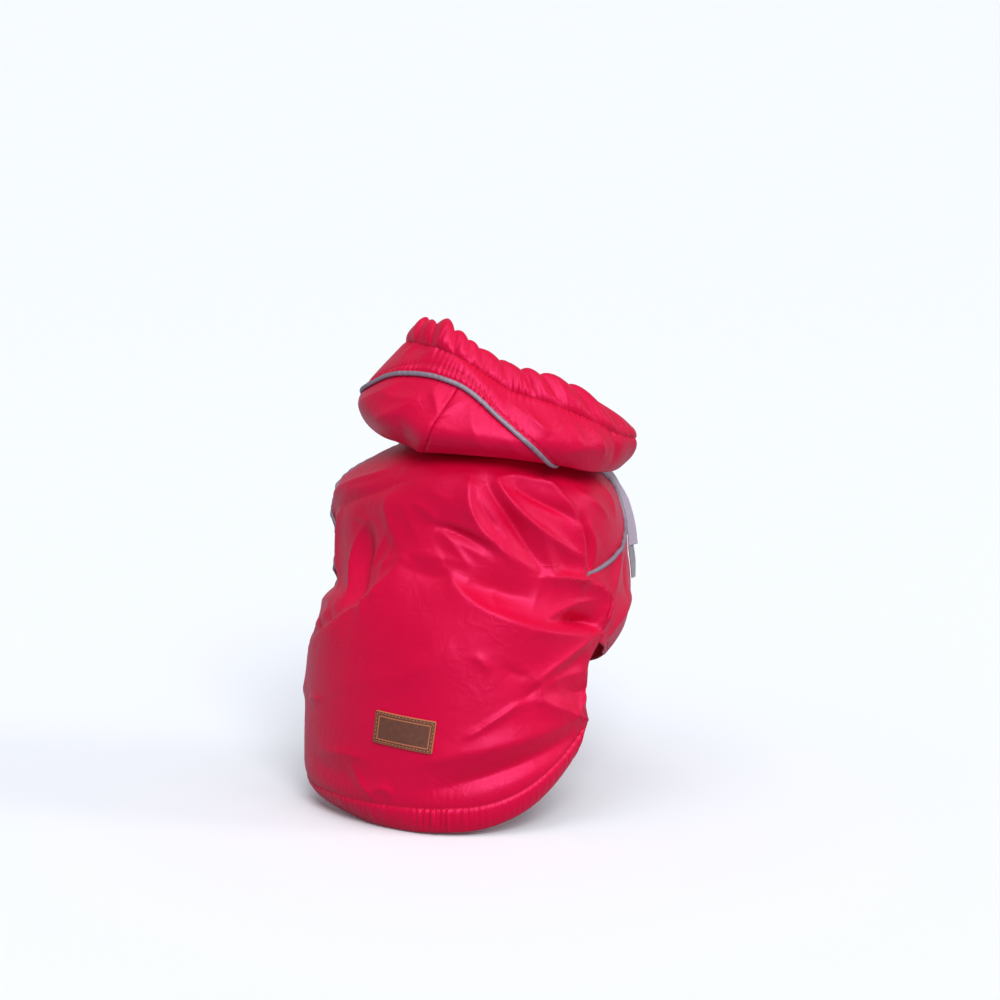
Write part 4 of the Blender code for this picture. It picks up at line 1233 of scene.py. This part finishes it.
# how far inside its edge the stitches and the frame lie, how far it is off the cloth, and its wall in metres
LABEL_STITCH_INSET = 1.7
LABEL_FRAME_INSET = 3.4
LABEL_LIE = 0.4
LABEL_WALL = 0.0010
# how much of the way across a corner is taken along each of its sides
CORNER_DRAW = 0.707


def label_spot(x, y):
    """The body's angle and height at a place on the label."""
    turn = math.radians(LABEL["turn"])
    arc = np.radians(1.0) * spline(LABEL["along"], body_rings["along"], body_rings["right"])
    angle = LABEL["angle"] + (x * math.cos(turn) + y * math.sin(turn)) / arc
    return angle, LABEL["along"] - x * math.sin(turn) + y * math.cos(turn)


def label_inset(x, y):
    """How far a place lies inside the label's round-cornered edge."""
    over_x = np.abs(x) - LABEL["length"] / 2 + LABEL["corner"]
    over_y = np.abs(y) - LABEL["width"] / 2 + LABEL["corner"]
    past_corner = np.hypot(np.maximum(over_x, 0), np.maximum(over_y, 0))
    return LABEL["corner"] - (past_corner + np.minimum(np.maximum(over_x, over_y), 0))


def label_cut(across, up):
    """The label laid flat, its corners drawn in round."""
    x, y = (across - 0.5) * LABEL["length"], (up - 0.5) * LABEL["width"]
    over = np.minimum(label_inset(x, y), 0.0)
    return x + np.sign(x) * over * CORNER_DRAW, y + np.sign(y) * over * CORNER_DRAW


def label_face(x, y):
    inset = label_inset(x, y)
    edge = LABEL["thick"] - 0.75 * (1 - np.clip(inset / 0.9, 0.0, 1.0)) ** 2
    tooled = 0.3 * groove(inset - LABEL_FRAME_INSET, 0.35) + 0.22 * groove(inset - LABEL_STITCH_INSET, 0.5)
    angle, along = label_spot(x, y)
    return body(angle, along, LABEL_LIE + edge - tooled)


def leather_finish():
    """Dark brown leather with a fine pebbled grain, tan where its edge and its frame are burnished."""
    finish, tree, shader = new_finish("brown_label_leather")
    place = place_of(tree, "UV")
    parts = add(tree, "SeparateXYZ")
    tree.links.new(place, parts.inputs[0])
    insets = []
    for axis, size in (("X", LABEL["length"]), ("Y", LABEL["width"])):
        away = math_node(tree, "ABSOLUTE", parts.outputs[axis])
        insets.append(math_node(tree, "SUBTRACT", size / 2000, away))
    inset = math_node(tree, "MINIMUM", *insets)
    edge = spread(tree, inset, 0.0004, 0.0010, 1.0, 0.0)
    from_frame = math_node(tree, "ABSOLUTE", math_node(tree, "SUBTRACT", inset, LABEL_FRAME_INSET / 1000))
    tooled = spread(tree, from_frame, 0.00022, 0.0005, 1.0, 0.0)
    tone = texture(tree, "Noise", place, Scale=260.0, Detail=4.0)
    grain = texture(tree, "Voronoi", place, Scale=1500.0)
    tan = math_node(tree, "MAXIMUM", edge, tooled)
    mask = math_node(tree, "MULTIPLY_ADD", tone.outputs["Fac"], 0.25, math_node(tree, "MULTIPLY", tan, 0.8))
    colour = blend_colours(tree, mask, (0.075, 0.026, 0.018), (0.52, 0.15, 0.055))
    rough = spread(tree, tone.outputs["Fac"], 0.3, 0.7, 0.5, 0.66)
    pebbled = bump(tree, grain.outputs["Distance"], 0.00012, 0.6)
    dress(tree, shader, Base_Color=colour, Roughness=rough, Normal=pebbled)
    return finish


label_mesh = cut_cloth("label_leather", 172, 88, label_cut, label_face, (1.0, 1.0))
label = show("label_leather", label_mesh, leather_finish(), ["label_patch"], LABEL_WALL)

# Stitching.
# Lockstitches of red thread hold the casings, the hood's topstitched strip, the shoulders, the turned edges
# and the bindings, each lying in the small groove that it pulls. The label's stitches are of tan thread.

# how far apart the stitches start, how long each is, and half how thick
red_stitches = (3.2, 2.3, 0.24)
tan_stitches = (2.5, 1.9, 0.3)
# how far a row lies from the piping, from the skirt's side edge in degrees, and from the armhole's edge
SHOULDER_ROW = 4.6
SKIRT_ROW_ANGLE = 2.2
ARMHOLE_ROW = 1.4
# how far the thread's middle lies off the cloth
THREAD_LIE = 0.15


def thread_finish(name, dark, lighter):
    """Polyester thread: two tones along its twist."""
    finish, tree, shader = new_finish(name)
    shader.inputs["Roughness"].default_value = 0.55
    tone = texture(tree, "Noise", place_of(tree, "Object"), Scale=1400.0, Detail=2.0)
    twisted = bump(tree, tone.outputs["Fac"], 0.0001, 0.5)
    dress(tree, shader, Base_Color=blend_colours(tree, tone.outputs["Fac"], dark, lighter), Normal=twisted)
    return finish


red_thread = thread_finish("red_thread", (0.42, 0.002, 0.02), (0.66, 0.012, 0.05))
tan_thread = thread_finish("tan_thread", (0.42, 0.13, 0.05), (0.66, 0.25, 0.10))


def stitch_row(name, lines, finish, sizes):
    """Rows of stitches along lines of points with their normals, each stitch a small long ball."""
    pitch, length, half = sizes
    sheet = new_sheet()
    for points, normals in lines:
        way = run(points)
        count = max(int(way[-1] / pitch), 1)
        for k in range(count):
            at = (k + 0.5) * way[-1] / count
            here, before, after, out_way = (
                Vector([np.interp(place, way, values[:, axis]) for axis in range(3)])
                for place, values in ((at, points), (at - 0.4, points), (at + 0.4, points), (at, normals))
            )
            ahead = (after - before).normalized()
            side_way = out_way.cross(ahead).normalized()
            turn = Matrix((side_way, ahead.cross(side_way), ahead)).transposed().to_4x4()
            place = Matrix.Translation((here - Vector((0, 0, NECK_HOLD))) / 1000) @ turn
            place @= Matrix.Diagonal((half / 1000, half / 1000, length / 2000, 1.0))
            bmesh.ops.create_uvsphere(
                sheet, u_segments=6, v_segments=4, radius=1.0, matrix=place, calc_uvs=True
            )
    show(name, as_mesh(name, sheet), finish, [])


def body_line(form, angle, along):
    return form(angle, along, THREAD_LIE), outward(body_round, angle, along)


def hood_line(angle, level):
    return hood(angle, level, THREAD_LIE), hood_outward(angle, level)


rim_way = np.linspace(-179.0, 179.0, 900)
strip_way = np.linspace(hood_piping_span[0] + 2, hood_piping_span[1] - 2, 600)
strip_lean = (piping_level(strip_way + 0.5) - piping_level(strip_way - 0.5)) * HOOD_RISE / HOOD_ARC
strip_level = piping_level(strip_way) + STRIP_WIDTH / HOOD_RISE * np.hypot(1.0, strip_lean)
hood_rows = [hood_line(rim_way, casing_level(rim_way)), hood_line(strip_way, strip_level)]
stitch_row("hood_stitching", hood_rows, red_thread, red_stitches)

hem_way = np.linspace(hem_start + 1, hem_end - 1, 500)
body_rows = [body_line(skirt, hem_way, hem_height(hem_way) + CASING_WIDTH)]
corner_heights = {"left": hem_line["height"][0], "right": hem_line["height"][-1]}
for side, sign in way_round.items():
    along = np.linspace(*shoulder_piping_span[side], 200)
    lean = (seam_angle(side, along + 1) - seam_angle(side, along - 1)) / 2 * BODY_ARC
    inside = seam_angle(side, along) - sign * SHOULDER_ROW / BODY_ARC * np.hypot(1.0, lean)
    body_rows.append(body_line(body, inside, along))
    along = np.linspace(corner_heights[side] + CASING_WIDTH + 3, SIDE_POINT - 4, 120)
    body_rows.append(body_line(skirt, seam_angle(side, along) - sign * SKIRT_ROW_ANGLE, along))
    edge_way = sign * np.linspace(86.0, 178.0, 300)
    body_rows.append(body_line(front_form(side), edge_way, front_hem(edge_way) + FRONT_STITCH_RISE))
    turn = np.linspace(0.0, 2 * np.pi, 200)
    angle = sign * (armhole["angle"] + (armhole["half_angle"] + ARMHOLE_ROW / BODY_ARC) * np.cos(turn))
    along = armhole["along"] + (armhole["half_height"] + ARMHOLE_ROW) * np.sin(turn)
    body_rows.append(body_line(front_form(side), angle, along))
stitch_row("body_stitching", body_rows, red_thread, red_stitches)

corner = np.array([LABEL["length"] / 2 - LABEL_STITCH_INSET, LABEL["width"] / 2 - LABEL_STITCH_INSET])
label_rows = []
for start, end in (((-1, 1), (1, 1)), ((1, 1), (1, -1)), ((1, -1), (-1, -1)), ((-1, -1), (-1, 1))):
    t = np.linspace(0.0, 1.0, 40)[:, None]
    at = (np.array(start) * (1 - t) + np.array(end) * t) * corner
    angle, along = label_spot(at[:, 0], at[:, 1])
    label_rows.append((label_face(at[:, 0], at[:, 1]), outward(body_round, angle, along)))
stitch_row("label_stitching", label_rows, tan_thread, tan_stitches)

# Studio.
# A plain pale floor and soft light from above and the right, with the camera behind the right shoulder.
FLOOR_GAP = 0.0008
floor_sheet = bmesh.new()
bmesh.ops.create_circle(floor_sheet, cap_ends=True, segments=96, radius=40.0)
bmesh.ops.translate(floor_sheet, vec=(0, 0, cad_box[0][2] - FLOOR_GAP), verts=floor_sheet.verts)
floor = bpy.data.objects.new("floor", as_mesh("floor", floor_sheet))
bpy.context.collection.objects.link(floor)
pale, tree, shader = new_finish("pale_floor")
shader.inputs["Roughness"].default_value = 0.8
# the floor throws back less light than it shows, so that the coat's underside and folds stay dark
seen = tree.nodes.new("ShaderNodeLightPath").outputs["Is Camera Ray"]
dress(tree, shader, Base_Color=blend_colours(tree, seen, (0.36, 0.37, 0.41), (0.90, 0.925, 0.98)))
floor.data.materials.append(pale)

world = bpy.data.worlds.new("studio")
bpy.context.scene.world = world
world.use_nodes = True
sky = world.node_tree.nodes["Background"]
sky.inputs["Color"].default_value = (0.9, 0.94, 1.0, 1.0)
sky.inputs["Strength"].default_value = 0.36

# where each light shines from, its strength, and how wide and so how soft it is, in degrees
lights = {
    "above": {"from": (-0.5, 0.9, 2.2), "strength": 1.3, "width": 60},
    "key": {"from": (-1.4, 1.95, 1.7), "strength": 1.7, "width": 24},
    "side": {"from": (-2.0, -0.5, 0.9), "strength": 0.6, "width": 18},
}
for name, light in lights.items():
    lamp = bpy.data.lights.new(name, "SUN")
    lamp.energy = light["strength"]
    lamp.angle = math.radians(light["width"])
    stand = bpy.data.objects.new(name, lamp)
    stand.rotation_euler = (-Vector(light["from"])).to_track_quat("-Z", "Y").to_euler()
    bpy.context.collection.objects.link(stand)

lens = bpy.data.cameras.new("camera")
lens.lens = 127.0
camera = bpy.data.objects.new("camera", lens)
camera.location = (-1.020, 2.132, 0.379)
aim = Vector((-0.02095, -0.00977, -0.0377))
camera.rotation_euler = (aim - camera.location).to_track_quat("-Z", "Y").to_euler()
bpy.context.collection.objects.link(camera)
bpy.context.scene.camera = camera
bpy.context.scene.view_settings.view_transform = "Standard"
